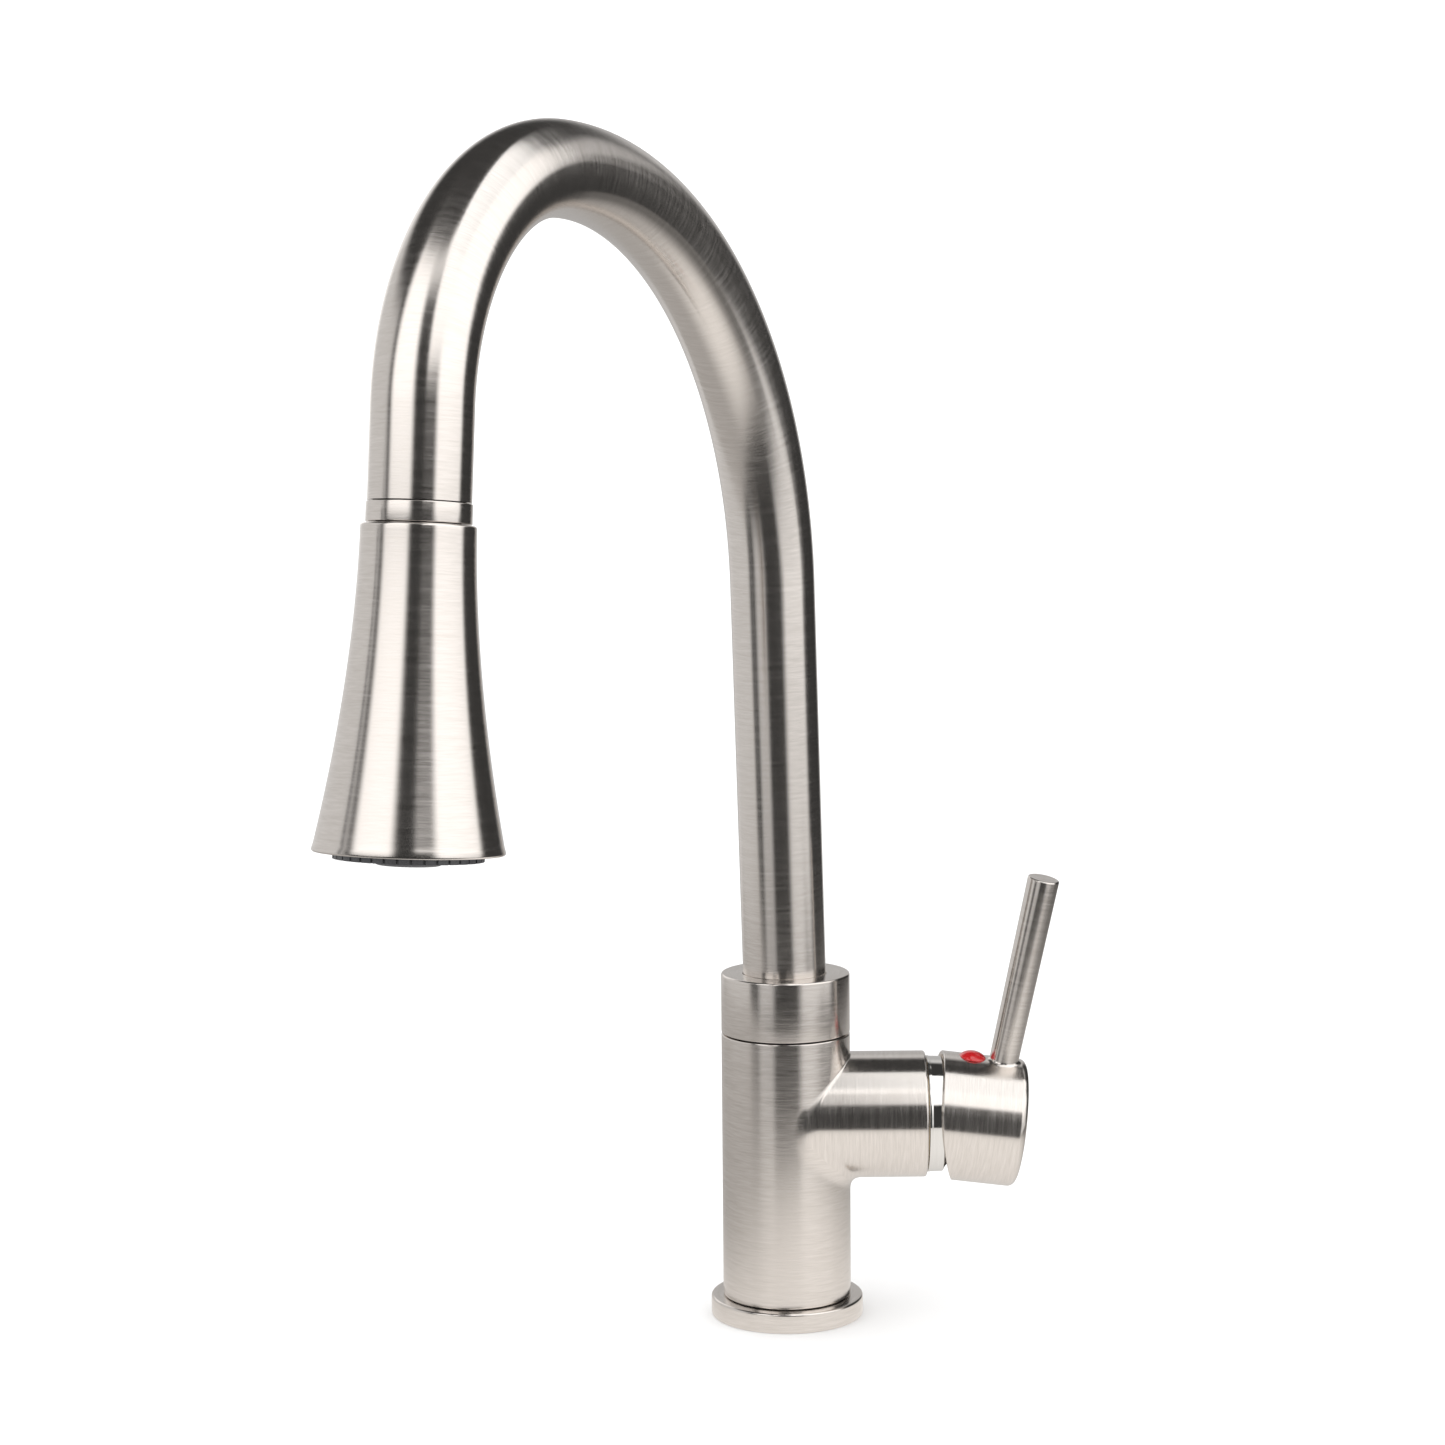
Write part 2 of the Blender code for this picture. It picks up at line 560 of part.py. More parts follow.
def between(points, spacing):
    """The same line with points added, so that no two are further apart than spacing."""
    made = [points[0]]
    for (x0, z0), (x1, z1) in zip(points, points[1:]):
        steps = max(1, math.ceil(math.hypot(x1 - x0, z1 - z0) / spacing))
        shares = [i / steps for i in range(1, steps + 1)]
        made += [(x0 + (x1 - x0) * share, z0 + (z1 - z0) * share) for share in shares]
    return made


def make_tube_and_hose(points, heading):
    tube = swept("spout_tube", points, TUBE_R, 6, NICKEL, False)
    wall = tube.modifiers.new("wall", "SOLIDIFY")
    wall.thickness = TUBE_WALL
    wall.offset = -1
    hose = [(0, HOSE_START)] + points[:-4]
    end_x, end_z = points[-1]
    for back in (FERRULE_TOP + 2 * MM, HOSE_END):  # straight, in line with the ferrule
        hose.append((end_x - back * math.cos(heading), end_z - back * math.sin(heading)))
    swept("pull_hose", between(hose, 6 * HOSE_R), HOSE_R, 3, BRAID, True)


def make_spout_end():
    """The trim ring on the tube's end, and the acetal bush inside that guides the docking head."""
    spigot_r, bore_r, spigot = TUBE_R - TUBE_WALL - GAP, 12.3 * MM, 6.0 * MM
    bevel = 0.25 * MM
    outline = [
        (spigot_r, spigot), (spigot_r, -GAP), (RING_R - bevel, -GAP), (RING_R, -GAP - bevel),
        (RING_R, -RING_H), (bore_r, -RING_H), (bore_r, spigot),
    ]
    turned("spout_tip_ring", outline, head, NICKEL, FINE)
    sleeve("dock_bush", spigot + GAP, 25.5 * MM, 9.8 * MM, spigot_r - 0.1 * MM, head, WHITE, MEDIUM)


def make_hose_end():
    """The crimped ferrule with its nipple, and the union nut that the nipple turns in."""
    outline = [
        (4.6 * MM, FERRULE_TOP), (5.6 * MM, FERRULE_TOP), (5.6 * MM, 24 * MM), (3.2 * MM, 24 * MM),
        (3.2 * MM, 14 * MM), (4.6 * MM, 14 * MM), (4.6 * MM, 11.6 * MM), (2.0 * MM, 11.6 * MM),
        (2.0 * MM, 26 * MM), (4.6 * MM, 26 * MM),
    ]
    turned("hose_ferrule", outline, head, STEEL, COARSE)
    outline = [
        (7.3 * MM, 19.5 * MM), (7.3 * MM, 6.2 * MM), (5.1 * MM, 6.2 * MM), (5.1 * MM, 14.6 * MM),
        (3.6 * MM, 14.6 * MM), (3.6 * MM, 19.5 * MM),
    ]
    turned("swivel_nut", outline, head, BRASS, MEDIUM)
    sleeve("swivel_washer", 9.9 * MM, 11.3 * MM, 2.2 * MM, 4.4 * MM, head, RUBBER)


def flare(down):
    """The bell's outer radius at a distance down from its top edge."""
    return HEAD_TOP_R + (HEAD_RIM_R - HEAD_TOP_R) * (down / HEAD_LENGTH) ** FLARE


def make_head():
    """The bell shell, the waterway core inside it, the non-return valve and the plate round the nozzles."""
    bands, inner_bands, edge, lip = 9, 4, 0.8 * MM, 2.2 * MM
    outline = arc(HEAD_TOP_R - edge, -HEAD_TOP - edge, edge, 90, 0, 3)
    for i in range(1, bands):
        down = edge + (HEAD_LENGTH - 2 * edge) * i / bands
        outline.append((flare(down), -HEAD_TOP - down))
    outline += arc(HEAD_RIM_R - edge, -HEAD_RIM + edge, edge, 0, -90, 3)
    for i in range(inner_bands, -1, -1):
        down = lip + (HEAD_LENGTH - lip) * i / inner_bands
        outline.append((flare(down) - HEAD_WALL, -HEAD_TOP - down))
    outline += [(NECK_R + 0.4 * MM, -HEAD_TOP - lip), (NECK_R + 0.4 * MM, -HEAD_TOP)]
    turned("head_shell", outline, head, NICKEL, FINE)

    inlet_r, valve_r, chamber_r = 3.0 * MM, 5.4 * MM, 19.0 * MM
    neck_top, chamber_top, foot = 5.6 * MM, 80 * MM, 93 * MM
    outline = [
        (4.7 * MM, 9.6 * MM), (4.7 * MM, neck_top), (NECK_R, neck_top), (NECK_R, -62 * MM),
        (21.2 * MM, -chamber_top), (21.2 * MM, -foot), (chamber_r, -foot),
        (chamber_r, -chamber_top - 2 * MM), (valve_r, -68 * MM), (valve_r, -8 * MM),
        (inlet_r, -8 * MM), (inlet_r, 9.6 * MM),
    ]
    turned("head_core", outline, head, DARK, MEDIUM)
    outline = [
        (0, -8.4 * MM), (2.0 * MM, -8.4 * MM), (5.1 * MM, -10 * MM), (5.1 * MM, -20 * MM),
        (3.6 * MM, -20 * MM), (3.6 * MM, -12 * MM), (0, -12 * MM),
    ]
    turned("check_valve", outline, head, WHITE)
    sleeve(
        "face_plate", -HEAD_RIM + 1.2 * MM, -HEAD_RIM + 3.2 * MM, 22.0 * MM, 24.6 * MM,
        head, DARK, FINE,
    )


def make_selector():
    """The toothed ring that is turned to change the spray: a row of blocks round a circle."""
    curve = bpy.data.curves.new("spray_selector_ring", "CURVE")
    curve.dimensions = "2D"
    curve.fill_mode = "BOTH"
    curve.extrude = (SELECTOR_BOTTOM - SELECTOR_TOP) / 2
    pitch = math.tau / TEETH
    outer = []
    for tooth in range(TEETH):
        half = pitch * TOOTH_SHARE / 2
        outer.append((TOOTH_ROOT_R, tooth * pitch - half))
        outer.append((TOOTH_R, tooth * pitch - half))
        outer.append((TOOTH_R, tooth * pitch + half))
        outer.append((TOOTH_ROOT_R, tooth * pitch + half))
    inner = [(SELECTOR_BORE_R, -tooth * pitch) for tooth in range(TEETH)]
    for ring in (outer, inner):
        spline = curve.splines.new("POLY")
        spline.points.add(len(ring) - 1)
        spline.use_cyclic_u = True
        for knot, (radius, angle) in zip(spline.points, ring):
            knot.co = (radius * math.cos(angle), radius * math.sin(angle), 0, 1)
    place(
        "spray_selector_ring", curve, head, DARK,
        location=(0, 0, -(SELECTOR_BOTTOM + SELECTOR_TOP) / 2),
    )


def make_nozzles():
    """The silicone mat with two rings of nozzles, and the domed stream outlet with its screen."""
    top, under, tip = -HEAD_RIM + 3.2 * MM, -HEAD_RIM + 0.4 * MM, -HEAD_RIM - 1.6 * MM
    mat_r = SELECTOR_BORE_R - GAP
    outline = [(mat_r, top), (mat_r, under), (DOME_R + GAP, under), (DOME_R + GAP, top)]
    mat = turned("nozzle_mat", outline, head, SILICONE, MEDIUM)
    shape = bmesh.new()
    root = under + MM
    for ring_r, count in NOZZLE_RINGS:
        for i in range(count):
            angle = math.tau * i / count
            spot = (ring_r * math.cos(angle), ring_r * math.sin(angle), (root + tip) / 2)
            bmesh.ops.create_cone(
                shape, cap_ends=True, segments=6, radius1=0.7 * MM, radius2=1.1 * MM,
                depth=root - tip, matrix=Matrix.Translation(spot),
            )
    mesh = bpy.data.meshes.new("nozzles")
    shape.to_mesh(mesh)
    shape.free()
    boolean(mat, "UNION", place("nozzles", mesh, head, None))

    rim, dome = -DOME_BOTTOM + 0.9 * MM, -DOME_BOTTOM
    outline = [
        (DOME_R, -HEAD_RIM + 5 * MM), (DOME_R, rim), (DOME_R - 1.2 * MM, dome + 0.25 * MM),
        (DOME_R - 2.6 * MM, dome), (7.2 * MM, dome), (7.2 * MM, -HEAD_RIM + 5 * MM),
    ]
    turned("stream_outlet", outline, head, DARK, MEDIUM)
    screen = [(0, dome + 2.6 * MM), (6.9 * MM, dome + 2.6 * MM), (6.9 * MM, dome + 1.2 * MM)]
    screen += [(4.0 * MM, dome + 0.7 * MM), (0, dome + 0.5 * MM)]
    turned("stream_screen", screen, head, STEEL, MEDIUM)


line, end_heading = spout_line()
lean = -math.radians(90) - end_heading
head = empty("head_axis", (line[-1][0], 0, line[-1][1]), (0, lean, 0), spout)
lever = empty(
    "lever_axis", (LEVER_AT, 0, HUB_R - 0.45 * MM), (0, LEVER_LEAN, 0), handle
)

make_base()
make_valve_body()
make_under_body()
make_retaining_screw()
make_cartridge()
make_rotor()
make_stem()
make_hub()
make_lever()
make_handle_trim()
make_spout_foot()
make_collar()
make_tube_and_hose(line, end_heading)
make_spout_end()
make_hose_end()
make_head()
make_selector()
make_nozzles()
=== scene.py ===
"""The looks of a pull-down kitchen faucet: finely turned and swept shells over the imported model,
in brushed nickel, with the studio round them. Lengths are metres."""

import itertools
import json
import math

import bmesh
import bpy
import numpy as np
from contextlib import contextmanager
from mathutils import Matrix, Vector

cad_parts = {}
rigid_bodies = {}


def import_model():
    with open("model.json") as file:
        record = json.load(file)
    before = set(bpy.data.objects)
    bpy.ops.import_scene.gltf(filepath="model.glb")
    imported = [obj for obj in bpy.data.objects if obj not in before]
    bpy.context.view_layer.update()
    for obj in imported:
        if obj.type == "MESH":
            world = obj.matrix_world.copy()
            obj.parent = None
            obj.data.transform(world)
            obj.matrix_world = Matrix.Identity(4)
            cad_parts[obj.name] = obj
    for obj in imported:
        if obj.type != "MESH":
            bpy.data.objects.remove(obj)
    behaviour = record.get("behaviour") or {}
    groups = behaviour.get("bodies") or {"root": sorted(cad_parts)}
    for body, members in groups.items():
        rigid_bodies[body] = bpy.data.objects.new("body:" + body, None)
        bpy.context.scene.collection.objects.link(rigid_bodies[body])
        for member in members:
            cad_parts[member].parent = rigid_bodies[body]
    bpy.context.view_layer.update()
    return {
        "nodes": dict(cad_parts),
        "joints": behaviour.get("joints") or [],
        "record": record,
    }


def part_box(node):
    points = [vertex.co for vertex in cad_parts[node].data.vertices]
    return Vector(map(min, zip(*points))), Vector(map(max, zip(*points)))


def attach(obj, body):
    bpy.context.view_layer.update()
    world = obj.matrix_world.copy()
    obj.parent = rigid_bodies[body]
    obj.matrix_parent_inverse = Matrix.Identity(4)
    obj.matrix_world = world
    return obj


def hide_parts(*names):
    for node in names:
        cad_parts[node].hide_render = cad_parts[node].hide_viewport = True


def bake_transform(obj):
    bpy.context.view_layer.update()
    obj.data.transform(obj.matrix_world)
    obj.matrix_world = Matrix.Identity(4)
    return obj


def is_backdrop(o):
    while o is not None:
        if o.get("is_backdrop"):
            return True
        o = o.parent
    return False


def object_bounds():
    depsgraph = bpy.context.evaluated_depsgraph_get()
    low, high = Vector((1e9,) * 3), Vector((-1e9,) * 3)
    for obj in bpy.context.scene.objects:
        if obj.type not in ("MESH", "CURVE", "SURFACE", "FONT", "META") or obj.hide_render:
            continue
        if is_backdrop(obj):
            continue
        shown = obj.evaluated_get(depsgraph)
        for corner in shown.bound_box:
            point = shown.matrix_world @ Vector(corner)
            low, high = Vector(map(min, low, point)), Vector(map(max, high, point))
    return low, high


for old in list(bpy.data.objects):
    bpy.data.objects.remove(old, do_unlink=True)
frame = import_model()

MM = 0.001
X, Y, Z = Vector((1, 0, 0)), Vector((0, 1, 0)), Vector((0, 0, 1))
JOINTS = {joint["name"]: joint for joint in frame["joints"]}
ROUND = 160  # steps round a turned piece that shows
PLAIN = 64  # steps round a small or hidden one

# Handle, as turned and tipped at rest
HANDLE_TIP, LEVER_LEAN = math.radians(7.1), math.radians(4.1)
LEVER_AT, LEVER_SINK, LEVER_BASE_R, LEVER_TIP_R = 22.8 * MM, 0.45 * MM, 5.2 * MM, 5.6 * MM
LEVER_LENGTH = 69.0 * MM
HUB_R, HUB_WALL, HUB_LENGTH, HUB_EDGE_R, HUB_FLOOR = 22.8 * MM, 1.4 * MM, 31.5 * MM, 2.5 * MM, 15.0 * MM
RIM_CURVE_R, RIM_RISE, RIM_AT = 96.0 * MM, 16.9 * MM, 2.4 * MM
CREASE_TOP, CREASE_LOW = 0.8 * MM, 4.5 * MM
BUTTON_AT, BUTTON_R, BUTTON_CROWN = 11.6 * MM, 4.75 * MM, 2.1 * MM
GRUB_AT, GRUB_BORE_R = 18.0 * MM, 2.3 * MM

# Gooseneck
TUBE_R, TUBE_WALL = 14.8 * MM, 1.4 * MM
LEAN_START, LEAN, LEG_LENGTH = 112.0 * MM, 0.0549, 151.8 * MM
WIDE_R, WIDE_ANGLE = 140.8 * MM, 1.543
TIGHT_R, TIGHT_ANGLE = 78.6 * MM, 1.454
END_LENGTH = 27.0 * MM
HOSE_R = 4.2 * MM

# Spray head, in distances down its axis from the tube's end
HEAD_TOP, HEAD_LENGTH = 6.5 * MM, 92.8 * MM
HEAD_TOP_R, HEAD_RIM_R, FLARE = 16.45 * MM, 27.5 * MM, 1.8
HEAD_WALL = 1.6 * MM
HEAD_RIM = HEAD_TOP + HEAD_LENGTH
NECK_R = 11.9 * MM
TEETH, TOOTH_SHARE = 36, 0.8
TOOTH_R, TOOTH_ROOT_R, SELECTOR_BORE_R = 21.5 * MM, 20.6 * MM, 19.6 * MM
SELECTOR_BOTTOM, SELECTOR_TOP = HEAD_RIM + 1.9 * MM, HEAD_RIM - 3.4 * MM
DOME_R, DOME_BOTTOM = 10.2 * MM, HEAD_RIM + 3.5 * MM
NOZZLE_RINGS = ((12.6 * MM, 14), (16.6 * MM, 20))


def axes_frame(origin, x_axis, y_axis, z_axis):
    """A matrix that places a piece's own axes at origin."""
    made = Matrix((x_axis, y_axis, z_axis)).transposed().to_4x4()
    made.translation = origin
    return made


PIVOT = Vector(JOINTS["handle_tilt"]["pos_m"])
TILT_AXIS = Vector(JOINTS["handle_tilt"]["axis"]).normalized()
TIP = Vector(JOINTS["head_spin"]["pos_m"])
HEAD_UP = -Vector(JOINTS["head_spin"]["axis"]).normalized()
BRANCH_Z = PIVOT.z
HUB_AXIS = Matrix.Rotation(HANDLE_TIP, 3, TILT_AXIS) @ X

WORLD = Matrix.Identity(4)
BRANCH = axes_frame(Vector((0, 0, BRANCH_Z)), -Z, Y, X)
HANDLE = axes_frame(PIVOT, HUB_AXIS, TILT_AXIS, HUB_AXIS.cross(TILT_AXIS))  # its Z runs up
LEVER = HANDLE @ Matrix.Translation((LEVER_AT, 0, HUB_R - LEVER_SINK)) @ Matrix.Rotation(LEVER_LEAN, 4, "Y")
HEAD_SIDE = HEAD_UP.cross(Z).normalized()
HEAD = axes_frame(TIP, HEAD_SIDE.cross(HEAD_UP), HEAD_SIDE, HEAD_UP)
SPOUT_OUT = -Vector((HEAD_UP.x, HEAD_UP.y, 0)).normalized()
SPOUT = axes_frame(Vector((0, 0, 0)), SPOUT_OUT, Z.cross(SPOUT_OUT), Z)


# Materials

NOISE_SPAN = (0.3, 0.7)  # between which nearly all of a noise texture's values lie


def new_material(name, color, roughness, metallic=0.0):
    material = bpy.data.materials.new(name)
    material.use_nodes = True
    tree = material.node_tree
    shader = tree.nodes["Principled BSDF"]
    shader.inputs["Base Color"].default_value = (*color, 1)
    shader.inputs["Roughness"].default_value = roughness
    shader.inputs["Metallic"].default_value = metallic
    return material, tree, shader


def node(tree, kind, **settings):
    made = tree.nodes.new(kind)
    for name, value in settings.items():
        if isinstance(value, bpy.types.NodeSocket):
            tree.links.new(value, made.inputs[name])
        elif name in made.inputs:
            made.inputs[name].default_value = value
        else:
            setattr(made, name, value)
    return made


def math_node(tree, operation, first, second=0.5, third=0.5):
    made = tree.nodes.new("ShaderNodeMath")
    made.operation = operation
    for socket, value in zip(made.inputs, (first, second, third)):
        if isinstance(value, bpy.types.NodeSocket):
            tree.links.new(value, socket)
        else:
            socket.default_value = value
    return made.outputs[0]


def stretched_noise(tree, coordinates, scale, detail=2.0):
    """Noise of its own frequency along each axis, per metre."""
    mapping = tree.nodes.new("ShaderNodeMapping")
    mapping.inputs["Scale"].default_value = scale
    tree.links.new(coordinates, mapping.inputs["Vector"])
    noise = tree.nodes.new("ShaderNodeTexNoise")
    noise.inputs["Scale"].default_value = 1.0
    noise.inputs["Detail"].default_value = detail
    tree.links.new(mapping.outputs[0], noise.inputs["Vector"])
    return noise.outputs["Fac"]


def map_range(tree, value, start, end, low=0.0, high=1.0, curve="LINEAR"):
    """The value taken from start and end to low and high, and held there beyond them."""
    made = tree.nodes.new("ShaderNodeMapRange")
    made.interpolation_type = curve
    for name, number in (("From Min", start), ("From Max", end), ("To Min", low), ("To Max", high)):
        made.inputs[name].default_value = number
    tree.links.new(value, made.inputs["Value"])
    return made.outputs[0]


def two_tone(tree, value, dark, light):
    ramp = tree.nodes.new("ShaderNodeValToRGB")
    for stop, position, color in zip(ramp.color_ramp.elements, NOISE_SPAN, (dark, light)):
        stop.position = position
        stop.color = (*color, 1)
    tree.links.new(value, ramp.inputs["Fac"])
    return ramp.outputs["Color"]


def bump(tree, shader, height, distance, strength=1.0):
    made = tree.nodes.new("ShaderNodeBump")
    made.inputs["Distance"].default_value = distance
    made.inputs["Strength"].default_value = strength
    tree.links.new(height, made.inputs["Height"])
    tree.links.new(made.outputs[0], shader.inputs["Normal"])


def brushed(name, dark, light, roughness, spread, anisotropy, streaks, relief):
    """Metal turned or brushed round its axis: fine rings, which draw highlights out across them."""
    material, tree, shader = new_material(name, light, roughness, 1.0)
    place = node(tree, "ShaderNodeAttribute", attribute_name="brush_place").outputs["Vector"]
    fine = stretched_noise(tree, place, (170, 170, streaks), 4)
    broad = stretched_noise(tree, place, (50, 50, streaks / 3), 2)
    both = math_node(tree, "MULTIPLY_ADD", fine, 0.6, math_node(tree, "MULTIPLY", broad, 0.4))
    tree.links.new(two_tone(tree, both, dark, light), shader.inputs["Base Color"])
    rough = map_range(tree, both, *NOISE_SPAN, roughness - spread, roughness + spread)
    tree.links.new(rough, shader.inputs["Roughness"])
    bump(tree, shader, fine, relief)
    shader.inputs["Anisotropic"].default_value = anisotropy
    around = node(tree, "ShaderNodeAttribute", attribute_name="brush_around").outputs["Vector"]
    turned = node(tree, "ShaderNodeVectorTransform", convert_from="OBJECT", convert_to="WORLD")
    turned.vector_type = "VECTOR"
    tree.links.new(around, turned.inputs[0])
    normal = tree.nodes.new("ShaderNodeNewGeometry").outputs["Normal"]
    across = node(tree, "ShaderNodeVectorMath", operation="CROSS_PRODUCT")
    tree.links.new(turned.outputs[0], across.inputs[0])
    tree.links.new(normal, across.inputs[1])
    tree.links.new(across.outputs[0], shader.inputs["Tangent"])
    return material


def grained(name, dark, light, roughness, spread, grain, relief, metallic=0.0, coat=0.0, sheen=0.0):
    """A moulded, cast or lapped surface: an even fine grain with a broader drift of tone."""
    material, tree, shader = new_material(name, light, roughness, metallic)
    place = tree.nodes.new("ShaderNodeTexCoord").outputs["Object"]
    fine = stretched_noise(tree, place, (grain, grain, grain), 3)
    broad = stretched_noise(tree, place, (grain / 14,) * 3, 2)
    both = math_node(tree, "MULTIPLY_ADD", fine, 0.5, math_node(tree, "MULTIPLY", broad, 0.5))
    tree.links.new(two_tone(tree, both, dark, light), shader.inputs["Base Color"])
    rough = map_range(tree, both, *NOISE_SPAN, roughness - spread, roughness + spread)
    tree.links.new(rough, shader.inputs["Roughness"])
    bump(tree, shader, fine, relief)
    shader.inputs["Coat Weight"].default_value = coat
    shader.inputs["Coat Roughness"].default_value = 0.05
    shader.inputs["Sheen Weight"].default_value = sheen
    return material


def braided(name, dark, light, strands, pitch):
    """Two families of flat strands that wind round the hose in opposite senses and pass over each other."""
    material, tree, shader = new_material(name, light, 0.55)
    place = node(tree, "ShaderNodeAttribute", attribute_name="brush_place").outputs["Vector"]
    split = tree.nodes.new("ShaderNodeSeparateXYZ")
    tree.links.new(place, split.inputs[0])
    turn = math_node(tree, "ARCTAN2", split.outputs["Y"], split.outputs["X"])
    turn = math_node(tree, "MULTIPLY", turn, strands / 2)
    rise = math_node(tree, "MULTIPLY", split.outputs["Z"], math.pi * strands / pitch)
    first = math_node(tree, "SINE", math_node(tree, "ADD", turn, rise))
    second = math_node(tree, "SINE", math_node(tree, "SUBTRACT", turn, rise))
    over = math_node(tree, "MULTIPLY", first, second)
    height = math_node(tree, "MULTIPLY_ADD", over, 0.5, 0.5)
    # Painted shade: the colour follows the weave's height, darkest where it sinks between the strands.
    tree.links.new(two_tone(tree, height, dark, light), shader.inputs["Base Color"])
    bump(tree, shader, height, 0.25 * MM)
    shader.inputs["Sheen Weight"].default_value = 0.2
    return material


NICKEL = brushed(
    "brushed_nickel", (0.695, 0.655, 0.615), (0.82, 0.78, 0.745), 0.20, 0.04, 0.72, 2600, 0.007 * MM
)
POLISHED = brushed(
    "polished_steel", (0.76, 0.75, 0.73), (0.82, 0.81, 0.79), 0.07, 0.02, 0.3, 5200, 0.002 * MM
)
BRASS = brushed("brass", (0.66, 0.47, 0.20), (0.82, 0.62, 0.32), 0.28, 0.07, 0.5, 4200, 0.012 * MM)
CERAMIC = grained("ceramic", (0.83, 0.82, 0.79), (0.91, 0.90, 0.87), 0.18, 0.05, 2400, 0.002 * MM)
WHITE = grained("white_acetal", (0.80, 0.80, 0.78), (0.88, 0.88, 0.86), 0.42, 0.06, 1800, 0.006 * MM)
DARK = grained(
    "dark_grey_plastic", (0.055, 0.055, 0.060), (0.095, 0.095, 0.10), 0.42, 0.08, 2600, 0.012 * MM
)
RUBBER = grained("black_rubber", (0.018, 0.018, 0.018), (0.04, 0.04, 0.04), 0.75, 0.08, 2200, 0.02 * MM)
SILICONE = grained(
    "grey_silicone", (0.16, 0.16, 0.17), (0.24, 0.24, 0.25), 0.55, 0.06, 1800, 0.01 * MM, sheen=0.1
)
RED = grained(
    "red_enamel", (0.48, 0.005, 0.008), (0.60, 0.010, 0.012), 0.20, 0.04, 700, 0.002 * MM, coat=1.0
)
BRAID = braided("braided_nylon", (0.05, 0.05, 0.055), (0.30, 0.30, 0.32), 16, 16 * MM)
# Near black: painted shade for the thin gap round the button.
SHADOW = grained("painted_gap_shade", (0.02, 0.02, 0.02), (0.05, 0.05, 0.05), 0.5, 0.05, 2000, 0.01 * MM, 1.0)
FINISHES = {
    "brushed_nickel": NICKEL, "polished_steel": POLISHED, "brass": BRASS, "ceramic": CERAMIC,
    "white_acetal": WHITE, "dark_grey_plastic": DARK, "black_rubber": RUBBER,
    "grey_silicone": SILICONE, "red_enamel": RED, "braided_nylon": BRAID,
}
SLOT_OF = {part["node"]: part["material_slot"] for part in frame["record"]["subparts"]}
BODY_OF = {
    name: body for body, names in frame["record"]["behaviour"]["bodies"].items() for name in names
}


# Shapes

def arc(centre_r, centre_h, radius, start, end, steps):
    """Points of an arc in the (radius, height) plane, from start to end in degrees."""
    angles = [math.radians(start + (end - start) * i / steps) for i in range(steps + 1)]
    return [(centre_r + radius * math.cos(a), centre_h + radius * math.sin(a)) for a in angles]


def rounded(outline, radius, closed, steps=4):
    """The outline with each corner rounded, as far as the lines that meet there allow."""
    points = [Vector(point) for point in outline]
    made = []
    for i, corner in enumerate(points):
        if not closed and i in (0, len(points) - 1):
            made.append(tuple(corner))
            continue
        before, after = points[i - 1] - corner, points[(i + 1) % len(points)] - corner
        bend = math.pi - before.angle(after)
        reach = radius * math.tan(bend / 2)
        reach = min(reach, 0.4 * before.length, 0.4 * after.length)
        if bend < math.radians(12) or reach < 1e-6:
            made.append(tuple(corner))
            continue
        start, end = corner + before.normalized() * reach, corner + after.normalized() * reach
        for k in range(steps + 1):
            share = k / steps
            low, high = start.lerp(corner, share), corner.lerp(end, share)
            made.append(tuple(low.lerp(high, share)))
    return made


def linked(name, data):
    """A new object in the scene."""
    made = bpy.data.objects.new(name, data)
    bpy.context.scene.collection.objects.link(made)
    return made


def put(name, mesh, place, material, body, replaced=()):
    """The mesh as a piece in place, riding on its body and standing for the CAD nodes that it replaces."""
    made = linked(name, mesh)
    made.matrix_world = place
    mesh.materials.clear()
    mesh.materials.append(material)
    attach(made, body)
    if replaced:
        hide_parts(*replaced)
    return made


def points_of(mesh):
    return np.array([vert.co for vert in mesh.vertices])


def off_axis(first, second):
    """Distances from an axis, never quite zero, to divide by."""
    return np.maximum(np.hypot(first, second), 1e-6)


def brush(mesh, places, directions):
    """Stores where each point lies in the brushing, and which way the brushing runs there."""
    for name, values in (("brush_place", places), ("brush_around", directions)):
        if name in mesh.attributes:
            mesh.attributes.remove(mesh.attributes[name])
        attribute = mesh.attributes.new(name, "FLOAT_VECTOR", "POINT")
        attribute.data.foreach_set("vector", np.asarray(values, np.float32).ravel())


def brush_round_z(mesh):
    """Brushing in rings round the mesh's own Z axis, on its sides and its flat faces alike."""
    co = points_of(mesh)
    radius = np.hypot(co[:, 0], co[:, 1])
    safe = off_axis(co[:, 0], co[:, 1])
    places = np.stack([co[:, 0], co[:, 1], co[:, 2] + radius], 1)
    around = np.stack([-co[:, 1] / safe, co[:, 0] / safe, 0 * safe], 1)
    brush(mesh, places, around)


def shaded(mesh, sharp=35):
    mesh.shade_smooth()
    mesh.set_sharp_from_angle(angle=math.radians(sharp))
    return mesh


@contextmanager
def edited(mesh):
    """The mesh as a bmesh to work on, stored back when the work is done."""
    shape = bmesh.new()
    shape.from_mesh(mesh)
    yield shape
    shape.to_mesh(mesh)
    shape.free()


def tidy_mesh(mesh):
    """Joined where points meet, with no loose or empty faces and every face pointing out."""
    with edited(mesh) as shape:
        bmesh.ops.remove_doubles(shape, verts=shape.verts, dist=1e-7)
        bmesh.ops.dissolve_degenerate(shape, edges=shape.edges, dist=1e-7)
        bmesh.ops.recalc_face_normals(shape, faces=shape.faces)
    return mesh


def between_rings(rows, steps, closed=False):
    """The faces that join each ring of points to the next, and the last to the first if closed."""
    faces = []
    for row in range(rows if closed else rows - 1):
        low, high = row * steps, (row + 1) % rows * steps
        for i in range(steps):
            j = (i + 1) % steps
            faces.append((low + i, low + j, high + j, high + i))
    return faces


def new_mesh(name, points, faces):
    mesh = bpy.data.meshes.new(name)
    mesh.from_pydata(points, [], faces)
    return mesh


